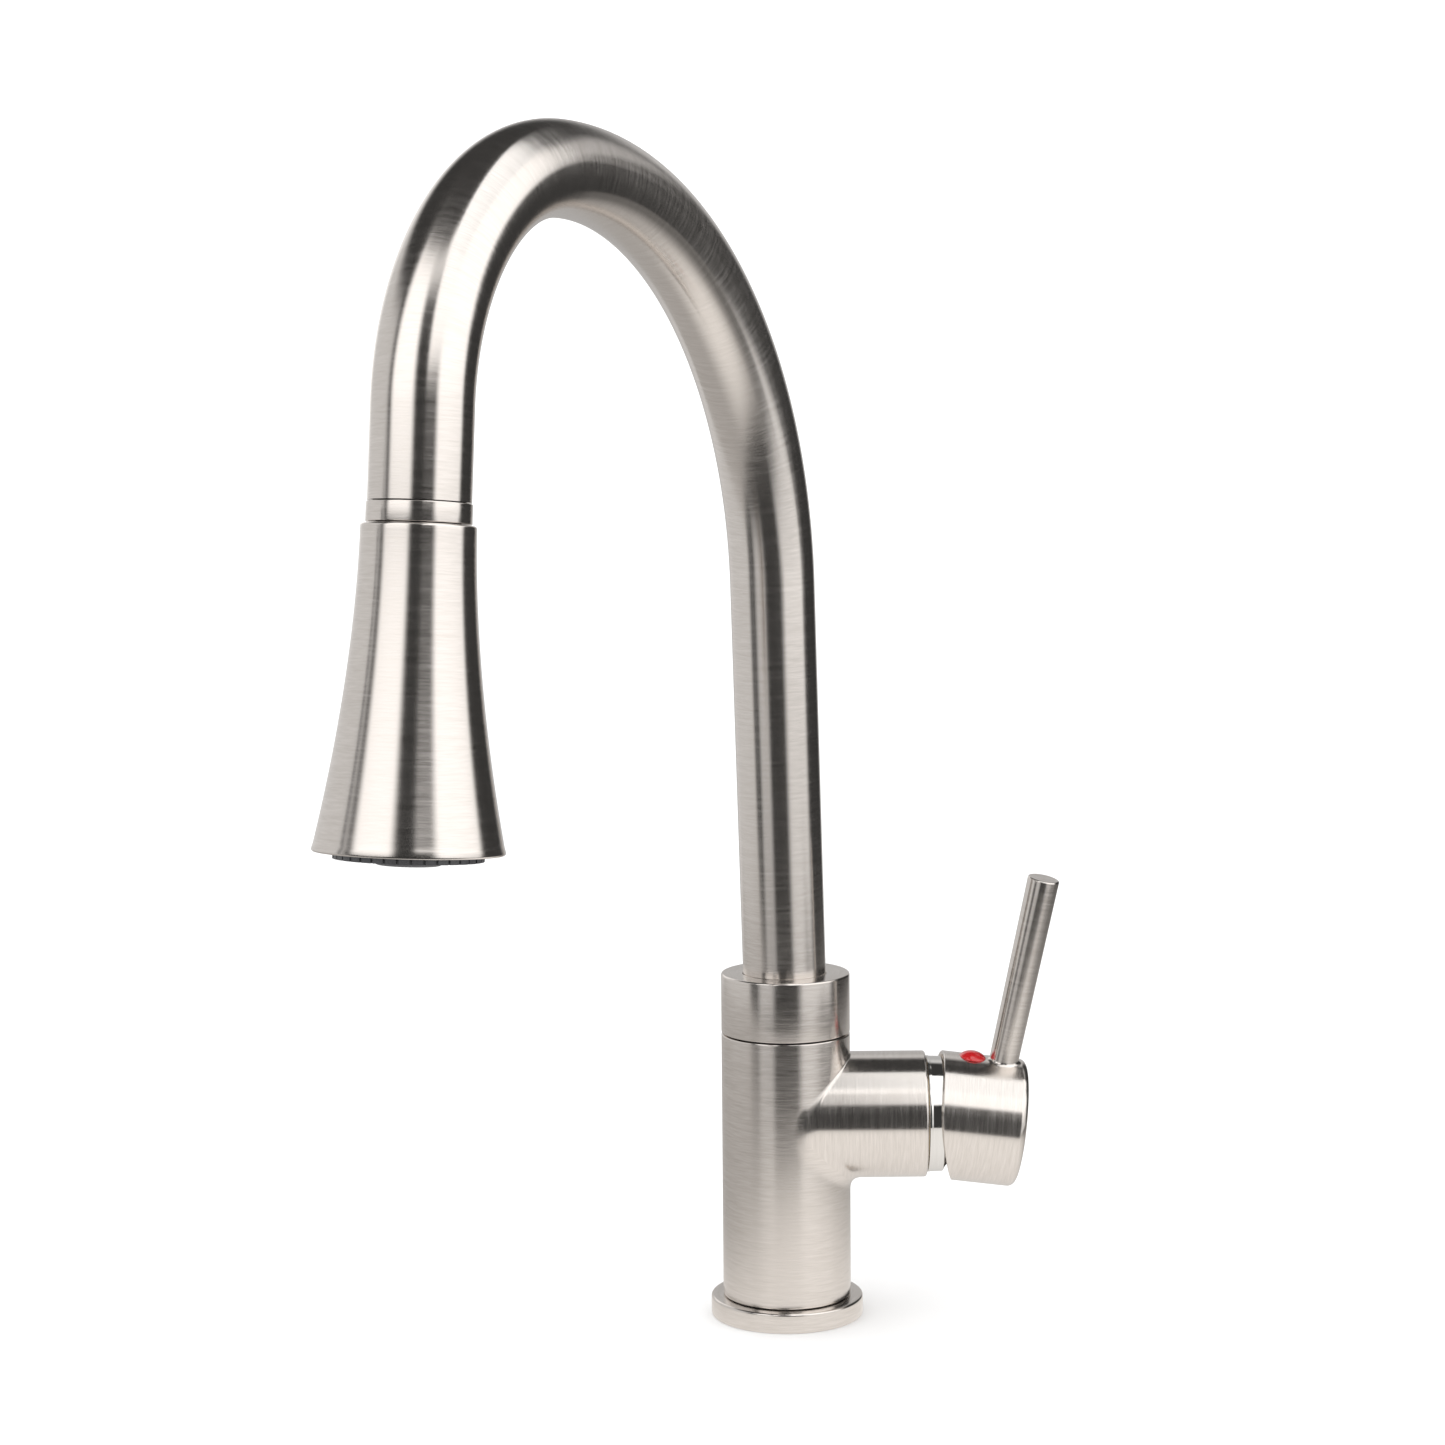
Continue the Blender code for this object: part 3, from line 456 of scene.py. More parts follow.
def lathe_mesh(name, outline, steps=ROUND):
    """The outline turned round Z. It closes on itself unless it both starts and ends on the axis."""
    closed = outline[0][0] > 1e-7 or outline[-1][0] > 1e-7
    angles = [math.tau * i / steps for i in range(steps)]
    points = [(r * math.cos(a), r * math.sin(a), h) for r, h in outline for a in angles]
    mesh = tidy_mesh(new_mesh(name, points, between_rings(len(outline), steps, closed)))
    brush_round_z(mesh)
    return shaded(mesh)


def lathe(name, outline, place, replaced, material=None, steps=ROUND):
    body = BODY_OF[replaced[0]]
    material = material or FINISHES[SLOT_OF[replaced[0]]]
    return put(name, lathe_mesh(name, outline, steps), place, material, body, replaced)


def cad_outline(name, place):
    """The (radius, height) outline of a turned CAD node about place's Z axis, and whether it closes."""
    mesh = frame["nodes"][name].data
    to_local = place.inverted()
    keys = []
    for vert in mesh.vertices:
        at = to_local @ vert.co
        keys.append((round(math.hypot(at.x, at.y), 5), round(at.z, 5)))
    beside = {}
    for edge in mesh.edges:
        first, second = (keys[i] for i in edge.vertices)
        if math.dist(first, second) > 3e-5:
            beside.setdefault(first, set()).add(second)
            beside.setdefault(second, set()).add(first)
    ends = sorted(key for key, near in beside.items() if len(near) == 1)
    chain = [ends[0] if ends else sorted(beside)[0]]
    while True:
        onward = sorted(key for key in beside[chain[-1]] if key not in chain)
        if not onward:
            break
        chain.append(onward[0])
    return chain, not ends


def refined(name, place, rounding=0.2 * MM, steps=PLAIN):
    """A turned CAD node made again, finely, with its corners rounded."""
    outline, closed = cad_outline(name, place)
    return lathe(name + "_turned", rounded(outline, rounding, closed), place, (name,), steps=steps)


def without(mesh, *cutters):
    """The mesh with each cutter's shape taken out of it."""
    piece = linked("to_cut", mesh)
    helpers = []
    for cutter, place in cutters:
        helper = linked("cutter", cutter)
        helper.matrix_world = place
        modifier = piece.modifiers.new("cut", "BOOLEAN")
        modifier.operation = "DIFFERENCE"
        modifier.object = helper
        helpers.append(helper)
    bpy.context.view_layer.update()
    graph = bpy.context.evaluated_depsgraph_get()
    made = bpy.data.meshes.new_from_object(piece.evaluated_get(graph))
    for helper in (piece, *helpers):
        bpy.data.objects.remove(helper, do_unlink=True)
    return made


def rod(name, radius, length, steps=48):
    """A closed cylinder mesh that stands on the origin."""
    return lathe_mesh(name, [(0, length), (radius, length), (radius, 0), (0, 0)], steps)


def true_normals(mesh, normal_of, within=math.radians(20)):
    """Shades the faces that lie on a known surface with that surface's own normals."""
    co = points_of(mesh)
    normals, on_surface = normal_of(co)
    loops = np.array([corner.vector for corner in mesh.corner_normals])
    for face in mesh.polygons:
        for index in face.loop_indices:
            vertex = mesh.loops[index].vertex_index
            if on_surface[vertex] and face.normal.dot(normals[vertex]) > math.cos(within):
                loops[index] = normals[vertex]
    mesh.normals_split_custom_set(loops.tolist())


# Base, body and branch

def make_flange():
    low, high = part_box("base_flange")
    edge, hole_r = 0.9 * MM, 19.1 * MM
    outline = arc(high.x - edge, high.z - edge, edge, 90, 0, 8)
    outline += arc(high.x - edge / 2, edge / 2, edge / 2, 0, -90, 5)
    outline += [(hole_r, 0), (hole_r, high.z)]
    lathe("flange_turned", outline, WORLD, ("base_flange",))


def crease_blend(first, second, reach):
    """The lower of two distances, with the crease between them filled as far as reach."""
    overlap = np.maximum(reach - np.abs(first - second), 0) / reach
    return np.minimum(first, second) - overlap * overlap * reach / 4


def body_distance(co, body_r, branch_r):
    """How far each point lies outside the body and its branch, whose crease is crisp above and soft below."""
    x, y, z = co[:, 0], co[:, 1], co[:, 2] - BRANCH_Z
    low = np.clip(0.5 - z / (1.6 * branch_r), 0, 1)
    reach = CREASE_TOP + (CREASE_LOW - CREASE_TOP) * low * low
    fade = np.maximum(7 * MM - x, 0)
    body = np.hypot(x, y) - body_r
    branch = np.hypot(y, z) - branch_r + fade * fade / (16 * MM)
    return crease_blend(body, branch, reach)


def gradient(distance, co, step=1e-6):
    made = np.empty_like(co)
    for axis in range(3):
        offset = np.zeros(3)
        offset[axis] = step
        made[:, axis] = (distance(co + offset) - distance(co - offset)) / (2 * step)
    return made


def body_skin(body_r, branch_r, low, high, end):
    """Rows of points from the branch's end, over the crease, to the body's top, back and bottom."""
    half, top_steps, side_steps = 120, 52, 38
    along, across = 34, 46
    steps = 2 * half
    rows = np.empty((along + across + 1, steps, 3))
    for i in range(steps):
        side = 1 if i <= half else -1
        k = i if i <= half else steps - i
        angle = math.pi * k / half
        y, z = branch_r * math.sin(angle), BRANCH_Z + branch_r * math.cos(angle)
        meet = math.sqrt(body_r**2 - y**2)
        if k <= top_steps:
            edge = (math.pi * k / top_steps, high)
        elif k <= top_steps + side_steps:
            edge = (math.pi, high + (low - high) * (k - top_steps) / side_steps)
        else:
            left = half - top_steps - side_steps
            edge = (math.pi * (half - k) / left, low)
        for row in range(along + 1):
            share = 1 - (1 - row / along) ** 1.6
            rows[row, i] = (end + (meet - end) * share, side * y, z)
        turn = math.asin(y / body_r)
        for row in range(1, across + 1):
            share = (row / across) ** 1.5
            spot = turn + (edge[0] - turn) * share
            rows[along + row, i] = (
                body_r * math.cos(spot), side * body_r * math.sin(spot), z + (edge[1] - z) * share
            )
    return rows


def make_body():
    box_low, box_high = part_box("valve_body")
    body_r, branch_r, end_x = box_high.y, 22.5 * MM, box_high.x
    top, bottom, edge, round_r = box_high.z, box_low.z, 0.5 * MM, 1.0 * MM
    rows = body_skin(body_r, branch_r, bottom + edge, top - edge, end_x - round_r)
    count = rows.shape[1]

    def distance(co):
        return body_distance(co, body_r, branch_r)

    skin = rows.reshape(-1, 3).copy()
    inner = np.ones(len(skin), bool)
    inner[:count] = inner[-count:] = False  # the end ring and the outer edges stay where they are
    for _ in range(6):
        slope = gradient(distance, skin)
        move = distance(skin)[:, None] * slope / np.maximum((slope**2).sum(1), 1e-9)[:, None]
        skin[inner] -= move[inner]
    points = [tuple(point) for point in skin]
    faces = []

    def stitch(first, second):
        for i in range(count):
            j = (i + 1) % count
            faces.append((first + i, first + j, second + j, second + i))

    for row in range(rows.shape[0] - 1):
        stitch(row * count, (row + 1) * count)

    def ring_on(start, shape):
        points.extend(shape)
        stitch(start, len(points) - count)
        return len(points) - count

    first_ring = rows[0]
    start = 0
    mouth = arc(branch_r - round_r, end_x - round_r, round_r, 0, 90, 6)[1:]
    mouth += [(20.0 * MM, end_x), (20.0 * MM, 42 * MM), (17.8 * MM, 42 * MM), (17.8 * MM, 24 * MM)]
    mouth.append((1e-5, 24 * MM))
    for radius, x in mouth:
        scale = radius / branch_r
        ring = [(x, p[1] * scale, BRANCH_Z + (p[2] - BRANCH_Z) * scale) for p in first_ring]
        start = ring_on(start, ring)
    mesh = bpy.data.meshes.new("body_skin")
    mesh.from_pydata(points, [], faces)
    tidy_mesh(mesh)

    ease, socket_r, seat_r, seat_z, floor_z = edge * 0.3, 21.6 * MM, 18.7 * MM, 101.2 * MM, 84.6 * MM
    upper = [(body_r - ease, top - ease), (body_r - edge, top), (socket_r, top), (socket_r, seat_z)]
    upper += [(seat_r, seat_z), (seat_r, floor_z), (1e-5, floor_z)]
    lower = [(body_r - ease, bottom + ease), (body_r - edge, bottom), (1e-5, bottom)]
    lips = ((top - edge, upper), (bottom + edge, lower))
    with edited(mesh) as shape:
        for height, outline in lips:
            rim = [e for e in shape.edges if e.is_boundary and abs(e.verts[0].co.z - height) < 1e-6]
            for radius, z in outline:
                grown = bmesh.ops.extrude_edge_only(shape, edges=rim)["geom"]
                rim = [g for g in grown if isinstance(g, bmesh.types.BMEdge)]
                for vert in (g for g in grown if isinstance(g, bmesh.types.BMVert)):
                    flat = Vector((vert.co.x, vert.co.y)).normalized() * radius
                    vert.co = (flat.x, flat.y, z)
    tidy_mesh(mesh)
    retainer_z = sum((corner.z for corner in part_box("spout_retaining_screw"))) / 2
    hole = (rod("hole", 2.4 * MM, 8 * MM), axes_frame(Vector((0, 16.2 * MM, retainer_z)), X, -Z, Y))
    mesh = without(mesh, hole)
    shaded(mesh)

    def surface_normals(co):
        slope = gradient(distance, co)
        size = np.maximum(np.linalg.norm(slope, axis=1), 1e-9)
        return slope / size[:, None], np.abs(distance(co)) < 2e-5

    true_normals(mesh, surface_normals)
    co = points_of(mesh)
    x, y, z = co[:, 0], co[:, 1], co[:, 2] - BRANCH_Z
    lead = (np.hypot(x, y) - body_r) - (np.hypot(y, z) - branch_r)
    share = np.where(x > 4 * MM, np.clip(0.5 + lead / (1.5 * MM), 0, 1), 0)[:, None]
    off_body, off_branch = off_axis(x, y), off_axis(y, z)
    round_body = np.stack([-y / off_body, x / off_body, 0 * x], 1)
    round_branch = np.stack([0 * x, -z / off_branch, y / off_branch], 1)
    around = round_body * (1 - share) + round_branch * share
    places = np.where(share > 0.5, np.stack([y, z, x], 1), np.stack([x, y, co[:, 2]], 1))
    brush(mesh, places, around)
    put("body_and_branch", mesh, WORLD, NICKEL, "faucet_body", ("valve_body",))


def make_bonnet():
    """The polished cone and dome between the branch and the hub."""
    outline = [(13.0 * MM, 58.2 * MM), (13.0 * MM, 59.2 * MM)]
    outline += arc(13.0 * MM, 51.4 * MM, 7.8 * MM, 90, 42, 10)[1:]
    outline += [(20.5 * MM, 55.7 * MM), (20.6 * MM, 51.6 * MM), (20.75 * MM, 51.0 * MM)]
    outline += [(20.75 * MM, 50.35 * MM), (20.1 * MM, 50.35 * MM), (19.4 * MM, 51.0 * MM)]
    outline.append((19.4 * MM, 55.0 * MM))
    outline += arc(13.0 * MM, 50.4 * MM, 7.8 * MM, 40, 86, 6)
    lathe("bonnet_turned", rounded(outline, 0.35 * MM, True), BRANCH, ("cartridge_bonnet",))


# Handle

def hub_rim(angle):
    """Where the hub's open rim lies along its axis, at an angle round it from the top."""
    height = HUB_R * math.cos(angle)
    centre = RIM_AT + math.sqrt(RIM_CURVE_R**2 - RIM_RISE**2)
    return centre - math.sqrt(RIM_CURVE_R**2 - (height - RIM_RISE) ** 2)


def make_hub():
    """A cup with a solid end, in rings round the hub's axis. The rim's rings follow its hollow curve."""
    steps, lip = ROUND + 32, HUB_WALL / 2
    inner_r = HUB_R - HUB_WALL
    shoulder = HUB_LENGTH - HUB_EDGE_R
    cap = [(1e-5, HUB_LENGTH), (6 * MM, HUB_LENGTH), (13 * MM, HUB_LENGTH)]
    cap += arc(HUB_R - HUB_EDGE_R, shoulder, HUB_EDGE_R, 90, 0, 12)
    rings = [[point] * steps for point in cap]
    rims = [hub_rim(math.tau * i / steps) for i in range(steps)]
    for k in range(1, 25):
        rings.append([(HUB_R, shoulder + (rim + lip * 0.5 - shoulder) * k / 24) for rim in rims])
    for r, h in arc(HUB_R - lip, 0, lip, 0, 180, 8)[1:]:
        rings.append([(r, rim + lip * 0.5 - 0.5 * h) for rim in rims])
    for k in range(1, 9):
        rings.append([(inner_r, rim + (HUB_FLOOR - rim) * k / 8) for rim in rims])
    rings.append([(8 * MM, HUB_FLOOR)] * steps)
    rings.append([(1e-5, HUB_FLOOR)] * steps)
    points = []
    for ring in rings:
        for i, (radius, height) in enumerate(ring):
            angle = math.tau * i / steps
            points.append((height, radius * math.sin(angle), radius * math.cos(angle)))
    mesh = tidy_mesh(new_mesh("hub_skin", points, between_rings(len(rings), steps)))
    bore = (rod("bore", GRUB_BORE_R, 20 * MM), Matrix.Translation((GRUB_AT, 0, -HUB_R - 4 * MM)))
    mesh = without(mesh, bore)
    shaded(mesh, 40)

    def barrel(co):
        radius = off_axis(co[:, 1], co[:, 2])
        side = np.stack([0 * radius, co[:, 1] / radius, co[:, 2] / radius], 1)
        return side, (np.abs(radius - HUB_R) < 2e-5) & (co[:, 0] < shoulder + 1e-6)

    true_normals(mesh, barrel)
    co = points_of(mesh)
    radius = off_axis(co[:, 1], co[:, 2])
    places = np.stack([co[:, 1], co[:, 2], co[:, 0] + radius], 1)
    brush(mesh, places, np.stack([0 * radius, -co[:, 2] / radius, co[:, 1] / radius], 1))
    put("hub_shell", mesh, HANDLE, NICKEL, "handle", ("handle_hub",))


def make_lever():
    """A slightly tapering rod whose foot flares out in a small fillet that follows the hub's round top."""
    steps, fillet, top_edge = 96, 1.2 * MM, 0.6 * MM
    to_handle = HANDLE.inverted() @ LEVER
    origin, lean = to_handle.translation, to_handle.to_3x3()
    up = lean @ Z

    def on_hub(radius, angle):
        """How far up the lever's axis its wall meets the hub, at a radius and an angle."""
        foot = origin + lean @ Vector((radius * math.cos(angle), radius * math.sin(angle), 0))
        a = up.y**2 + up.z**2
        b = foot.y * up.y + foot.z * up.z
        c = foot.y**2 + foot.z**2 - HUB_R**2
        return (-b + math.sqrt(b * b - a * c)) / a

    angles = [math.tau * i / steps for i in range(steps)]
    rings = [[(LEVER_BASE_R + fillet, on_hub(LEVER_BASE_R + fillet, a) - 0.3 * MM) for a in angles]]
    for k in range(9):
        bend = math.radians(90 - 90 * k / 8)
        radius = LEVER_BASE_R + fillet * (1 - math.cos(bend))
        rise = fillet * (1 - math.sin(bend))
        rings.append([(radius, on_hub(radius, a) + rise) for a in angles])
    straight = LEVER_LENGTH - top_edge
    feet = [on_hub(LEVER_BASE_R, a) + fillet for a in angles]
    for k in range(1, 13):
        radius = LEVER_BASE_R + (LEVER_TIP_R - LEVER_BASE_R) * k / 12
        rings.append([(radius, foot + (straight - foot) * k / 12) for foot in feet])
    for radius, height in arc(LEVER_TIP_R - top_edge, straight, top_edge, 0, 90, 7)[1:]:
        rings.append([(radius, height)] * steps)
    for radius in (4.2 * MM, 2.0 * MM, 1e-5):
        rings.append([(radius, LEVER_LENGTH)] * steps)
    points = []
    for ring in rings:
        for (radius, height), angle in zip(ring, angles):
            points.append((radius * math.cos(angle), radius * math.sin(angle), height))
    faces = between_rings(len(rings), steps)
    faces.append(tuple(reversed(range(steps))))
    mesh = tidy_mesh(new_mesh("lever_skin", points, faces))
    brush_round_z(mesh)
    put("lever_turned", shaded(mesh, 40), LEVER, NICKEL, "handle", ("lever_rod",))


def make_button():
    seat, crown = HUB_R - 0.35 * MM, HUB_R + BUTTON_CROWN
    lift = crown - seat - 0.5 * MM
    ball = (BUTTON_R**2 + lift**2) / (2 * lift)
    reach = math.degrees(math.asin((BUTTON_R - 0.25 * MM) / ball))
    outline = [(0, crown)] + arc(0, crown - ball, ball, 90, 90 - reach, 14)[1:]
    outline += [(BUTTON_R, outline[-1][1] - 0.35 * MM), (BUTTON_R, seat), (0, seat)]
    place = HANDLE @ Matrix.Translation((BUTTON_AT, 0, 0))
    lathe("button_domed", rounded(outline, 0.25 * MM, False), place, ("index_button",), steps=96)
    # A thin dark ring round the button: painted shade where the gap between button and hub falls dark.
    seat_r, width = BUTTON_R + 0.35 * MM, 0.35 * MM
    ring = [(seat_r, HUB_R - 0.5 * MM), (seat_r + width, HUB_R - 0.5 * MM)]
    ring += [(seat_r + width, HUB_R - 0.02 * MM), (seat_r, HUB_R - 0.02 * MM)]
    mesh = lathe_mesh("button_seat", ring, 96)
    for vert in mesh.vertices:  # the painted shade ring follows the hub's round top
        sag = HUB_R - math.sqrt(HUB_R**2 - vert.co.y**2)
        vert.co.z -= sag
    put("button_seat", mesh, place, SHADOW, "handle")


# Spout

def gooseneck(step):
    """The centreline in the spout's upright plane as (out, up, heading), a point every step or so."""
    heading = math.pi / 2
    out, up = 0.0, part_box("spout_tube")[0].z
    line = [(out, up, heading)]
    legs = (
        (LEAN_START - up, 0, 0), (0, TUBE_R, LEAN), (LEG_LENGTH - TUBE_R * LEAN, 0, 0),
        (0, WIDE_R, WIDE_ANGLE), (0, TIGHT_R, TIGHT_ANGLE), (END_LENGTH, 0, 0),
    )
    for length, radius, angle in legs:
        count = max(2, math.ceil((length + radius * angle) / step))
        for _ in range(count):
            if radius:
                heading -= angle / count / 2
                chord = 2 * radius * math.sin(angle / count / 2)
                out, up = out + chord * math.cos(heading), up + chord * math.sin(heading)
                heading -= angle / count / 2
            else:
                out = out + length / count * math.cos(heading)
                up = up + length / count * math.sin(heading)
            line.append((out, up, heading))
    return line


def swept_mesh(name, rings, steps, capped=False):
    """Rings round a line in the piece's own XZ plane, as (centre, normal, radius, distance along)."""
    points, places, around = [], [], []
    for centre, normal, radius, along in rings:
        for i in range(steps):
            angle = math.tau * i / steps
            spoke = normal * math.cos(angle) + Y * math.sin(angle)
            points.append(centre + spoke * radius)
            places.append((radius * math.cos(angle), radius * math.sin(angle), along))
            around.append(Y * math.cos(angle) - normal * math.sin(angle))
    faces = between_rings(len(rings), steps)
    if capped:
        faces.append(tuple(range(steps)))
        faces.append(tuple(reversed(range(len(points) - steps, len(points)))))
    mesh = new_mesh(name, points, faces)
    brush(mesh, places, around)
    with edited(mesh) as shape:
        bmesh.ops.recalc_face_normals(shape, faces=shape.faces)
    return shaded(mesh)


def make_tube():
    """The tube's outer wall, its turned-in end and its inner wall, in one skin."""
    line = gooseneck(1.5 * MM)
    rings, travelled = [], 0.0
    previous = line[0]
    for index, (out, up, heading) in enumerate(line + line[::-1]):
        travelled += math.dist((out, up), previous[:2])
        previous = (out, up)
        normal = Vector((math.sin(heading), 0, -math.cos(heading)))
        radius = TUBE_R if index < len(line) else TUBE_R - TUBE_WALL
        rings.append((Vector((out, 0, up)), normal, radius, travelled))
    mesh = swept_mesh("tube_skin", rings, 128)
    with edited(mesh) as shape:
        rims = [edge for edge in shape.edges if edge.is_boundary]
        bmesh.ops.bridge_loops(shape, edges=rims)
        bmesh.ops.recalc_face_normals(shape, faces=shape.faces)
    put("gooseneck", shaded(mesh), SPOUT, NICKEL, "spout", ("spout_tube",))


def make_collar():
    """The swivel collar, whose bore leans with the tube where they meet at the top."""
    low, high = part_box("swivel_collar")
    body_r, edge, bore_r = 23.0 * MM, 0.8 * MM, TUBE_R + 0.12 * MM
    outline = [(18.6 * MM, low.z)]
    outline += arc(body_r - 0.3 * MM, low.z + 0.3 * MM, 0.3 * MM, -90, 0, 4)
    outline += arc(body_r - edge, high.z - edge, edge, 0, 90, 8)
    outline += [(bore_r + 0.3 * MM, high.z), (bore_r, high.z - 0.3 * MM), (bore_r, 106.0 * MM)]
    outline += [(18.6 * MM, 105.4 * MM)]
    mesh = lathe_mesh("collar_turned", outline)
    for vert in mesh.vertices:
        if math.hypot(vert.co.x, vert.co.y) < bore_r + 0.31 * MM and vert.co.z > LEAN_START:
            vert.co.x += LEAN * (vert.co.z - LEAN_START)
    put("collar_turned", mesh, SPOUT, NICKEL, "spout", ("swivel_collar",))


def make_tip_ring():
    low, gap, top = -6.15 * MM, -0.3 * MM, 6.0 * MM
    bore_r, spigot_r, ring_r = 12.3 * MM, 13.1 * MM, 15.1 * MM
    outline = [(spigot_r, top), (spigot_r, gap), (ring_r, gap), (ring_r, low), (bore_r, low), (bore_r, top)]
    lathe("tip_ring_turned", rounded(outline, 0.35 * MM, True), HEAD, ("spout_tip_ring",))


def hose_mesh(name, stations, places, radius):
    """A hose along (point, direction) stations. places are its distances in the braid."""
    rings = []
    for (at, heading), along in zip(stations, places):
        rings.append((at, Y.cross(heading).normalized(), radius, along))
    return swept_mesh(name, rings, 40, capped=True)


def make_hose():
    """The hose that stays in the gooseneck, and its end below the tip, made at rest with the braid of the
    length that draws out as the head is pulled down packed into it.
    """
    draw, rest_top, rest_low = JOINTS["head_pull"]["range_m"][1], 60 * MM, 27 * MM
    begin, finish = 58 * MM, 46 * MM
    to_spout = SPOUT.inverted() @ HEAD
    inside = gooseneck(4 * MM)
    tip_out, tip_up, _ = inside[-1]
    kept = []
    for out, height, heading in inside:
        if math.dist((out, height), (tip_out, tip_up)) > 88 * MM or height < 0.25:
            kept.append((Vector((out, 0, height)), Vector((math.cos(heading), 0, math.sin(heading)))))
    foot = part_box("pull_hose")[0].z
    for lift in (70 * MM, 36 * MM, 0.0):  # straight up through the body
        kept.insert(0, (Vector((0, 0, foot + lift)), Z.copy()))
    for rise in (72 * MM, 66 * MM, 60 * MM, 55 * MM):
        bow = max(rise - 60 * MM, 0) * 0.28
        turn = to_spout.to_3x3() @ Vector((0.2 * (rise > 60 * MM), 0, -1))
        kept.append((to_spout @ Vector((-bow, 0, rise)), turn))
    along, total = [], 0.0
    for i, (at, _) in enumerate(kept):
        total += (at - kept[i - 1][0]).length if i else 0
        along.append(total)
    inner = hose_mesh("hose_in_spout", kept, along, HOSE_R - 0.05 * MM)
    put("hose_in_spout", inner, SPOUT, BRAID, "spout", ("pull_hose",))
    stations, places = [], []
    count = 90
    for i in range(count + 1):
        share = i / count
        height = begin + (finish - begin) * share
        eased = share * share * (3 - 2 * share)
        stations.append((Vector((0, 0, height)), Vector((0, 0, -1))))
        places.append(begin - height + draw * eased)
    stations.insert(0, (Vector((0, 0, rest_top)), Vector((0, 0, -1))))
    places.insert(0, begin - rest_top)
    stations.append((Vector((0, 0, rest_low)), Vector((0, 0, -1))))
    places.append(places[-1] + finish - rest_low)
    drawn = linked("hose_drawn_out", hose_mesh("hose_drawn_out", stations, places, HOSE_R))
    drawn.matrix_world = HEAD
    drawn.data.materials.append(BRAID)
    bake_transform(drawn)


# Spray head

def flare(down):
    """The bell's outer radius at a distance down from its top edge."""
    return HEAD_TOP_R + (HEAD_RIM_R - HEAD_TOP_R) * (down / HEAD_LENGTH) ** FLARE


def make_head():
    top_edge, rim_edge, bands, lip = 0.8 * MM, 0.7 * MM, 72, 2.2 * MM
    outline = arc(HEAD_TOP_R - top_edge, -HEAD_TOP - top_edge, top_edge, 90, 0, 8)
    for i in range(1, bands):
        down = top_edge + (HEAD_LENGTH - 1.6 * rim_edge - top_edge) * i / bands
        outline.append((flare(down), -HEAD_TOP - down))
    outline += arc(HEAD_RIM_R - rim_edge, -HEAD_RIM + rim_edge, rim_edge, 0, -90, 7)
    inner = 24
    for i in range(inner, -1, -1):
        down = lip + (HEAD_LENGTH - 0.4 * MM - lip) * i / inner
        outline.append((flare(down) - HEAD_WALL, -HEAD_TOP - down))
    outline += [(NECK_R + 0.4 * MM, -HEAD_TOP - lip), (NECK_R + 0.4 * MM, -HEAD_TOP - 0.3 * MM)]
    outline += [(NECK_R + 0.7 * MM, -HEAD_TOP)]
    lathe("head_bell", outline, HEAD, ("head_shell",), steps=ROUND + 32)


def make_selector():
    """The toothed ring: blocks with softly worn edges, standing on a plain band."""
    shape = bmesh.new()
    pitch, fan = math.tau / TEETH, 4
    bottom, top = -SELECTOR_BOTTOM, -SELECTOR_TOP
    outline = []
    for tooth in range(TEETH):
        half = pitch * TOOTH_SHARE / 2
        outline.append((TOOTH_ROOT_R, tooth * pitch - half))
        for k in range(fan + 1):
            outline.append((TOOTH_R, tooth * pitch - half + 2 * half * k / fan))
        outline.append((TOOTH_ROOT_R, tooth * pitch + half))
    inner = [(SELECTOR_BORE_R, angle) for _, angle in outline]
    layers = []
    for height in (top, bottom):
        for ring in (outline, inner):
            layers.append([shape.verts.new((r * math.cos(a), r * math.sin(a), height)) for r, a in ring])
    outer_top, inner_top, outer_low, inner_low = layers
    count = len(outline)
    for i in range(count):
        j = (i + 1) % count
        shape.faces.new((outer_top[i], outer_top[j], inner_top[j], inner_top[i]))
        shape.faces.new((outer_low[j], outer_low[i], inner_low[i], inner_low[j]))
        shape.faces.new((outer_top[j], outer_top[i], outer_low[i], outer_low[j]))
        shape.faces.new((inner_top[i], inner_top[j], inner_low[j], inner_low[i]))
    bmesh.ops.recalc_face_normals(shape, faces=shape.faces)
    mesh = bpy.data.meshes.new("selector")
    shape.to_mesh(mesh)
    shape.free()
    made = put("selector_ring", shaded(mesh), HEAD, DARK, "spray_selector", ("spray_selector_ring",))
    bevel = made.modifiers.new("worn_edges", "BEVEL")
    bevel.width = 0.22 * MM
    bevel.segments = 3
    bevel.limit_method = "ANGLE"
    bevel.angle_limit = math.radians(40)


def make_nozzles():
    """The silicone mat and its rings of tapered nozzles, each with a small mouth."""
    top, under, tip = -HEAD_RIM + 3.2 * MM, -HEAD_RIM + 0.4 * MM, -HEAD_RIM - 1.6 * MM
    mat_r, hole_r = SELECTOR_BORE_R - 0.3 * MM, DOME_R + 0.3 * MM
    outline = [(mat_r, top), (mat_r, under), (hole_r, under), (hole_r, top)]
    mat = lathe_mesh("mat", rounded(outline, 0.3 * MM, True), 96)
    root = under + MM
    nozzle = [(0, root), (1.15 * MM, root), (1.1 * MM, under), (0.85 * MM, tip + 0.2 * MM), (0.7 * MM, tip)]
    nozzle += [(0.36 * MM, tip), (0.3 * MM, tip + 0.9 * MM), (0, tip + 0.9 * MM)]
    single = lathe_mesh("nozzle", rounded(nozzle, 0.1 * MM, False, 3), 28)
    with edited(mat) as shape:
        for ring_r, count in NOZZLE_RINGS:
            for i in range(count):
                angle = math.tau * i / count
                before = len(shape.verts)
                shape.from_mesh(single)
                shape.verts.ensure_lookup_table()
                for vert in shape.verts[before:]:
                    vert.co += Vector((ring_r * math.cos(angle), ring_r * math.sin(angle), 0))
    put("nozzle_field", shaded(mat), HEAD, SILICONE, "spray_selector", ("nozzle_mat",))


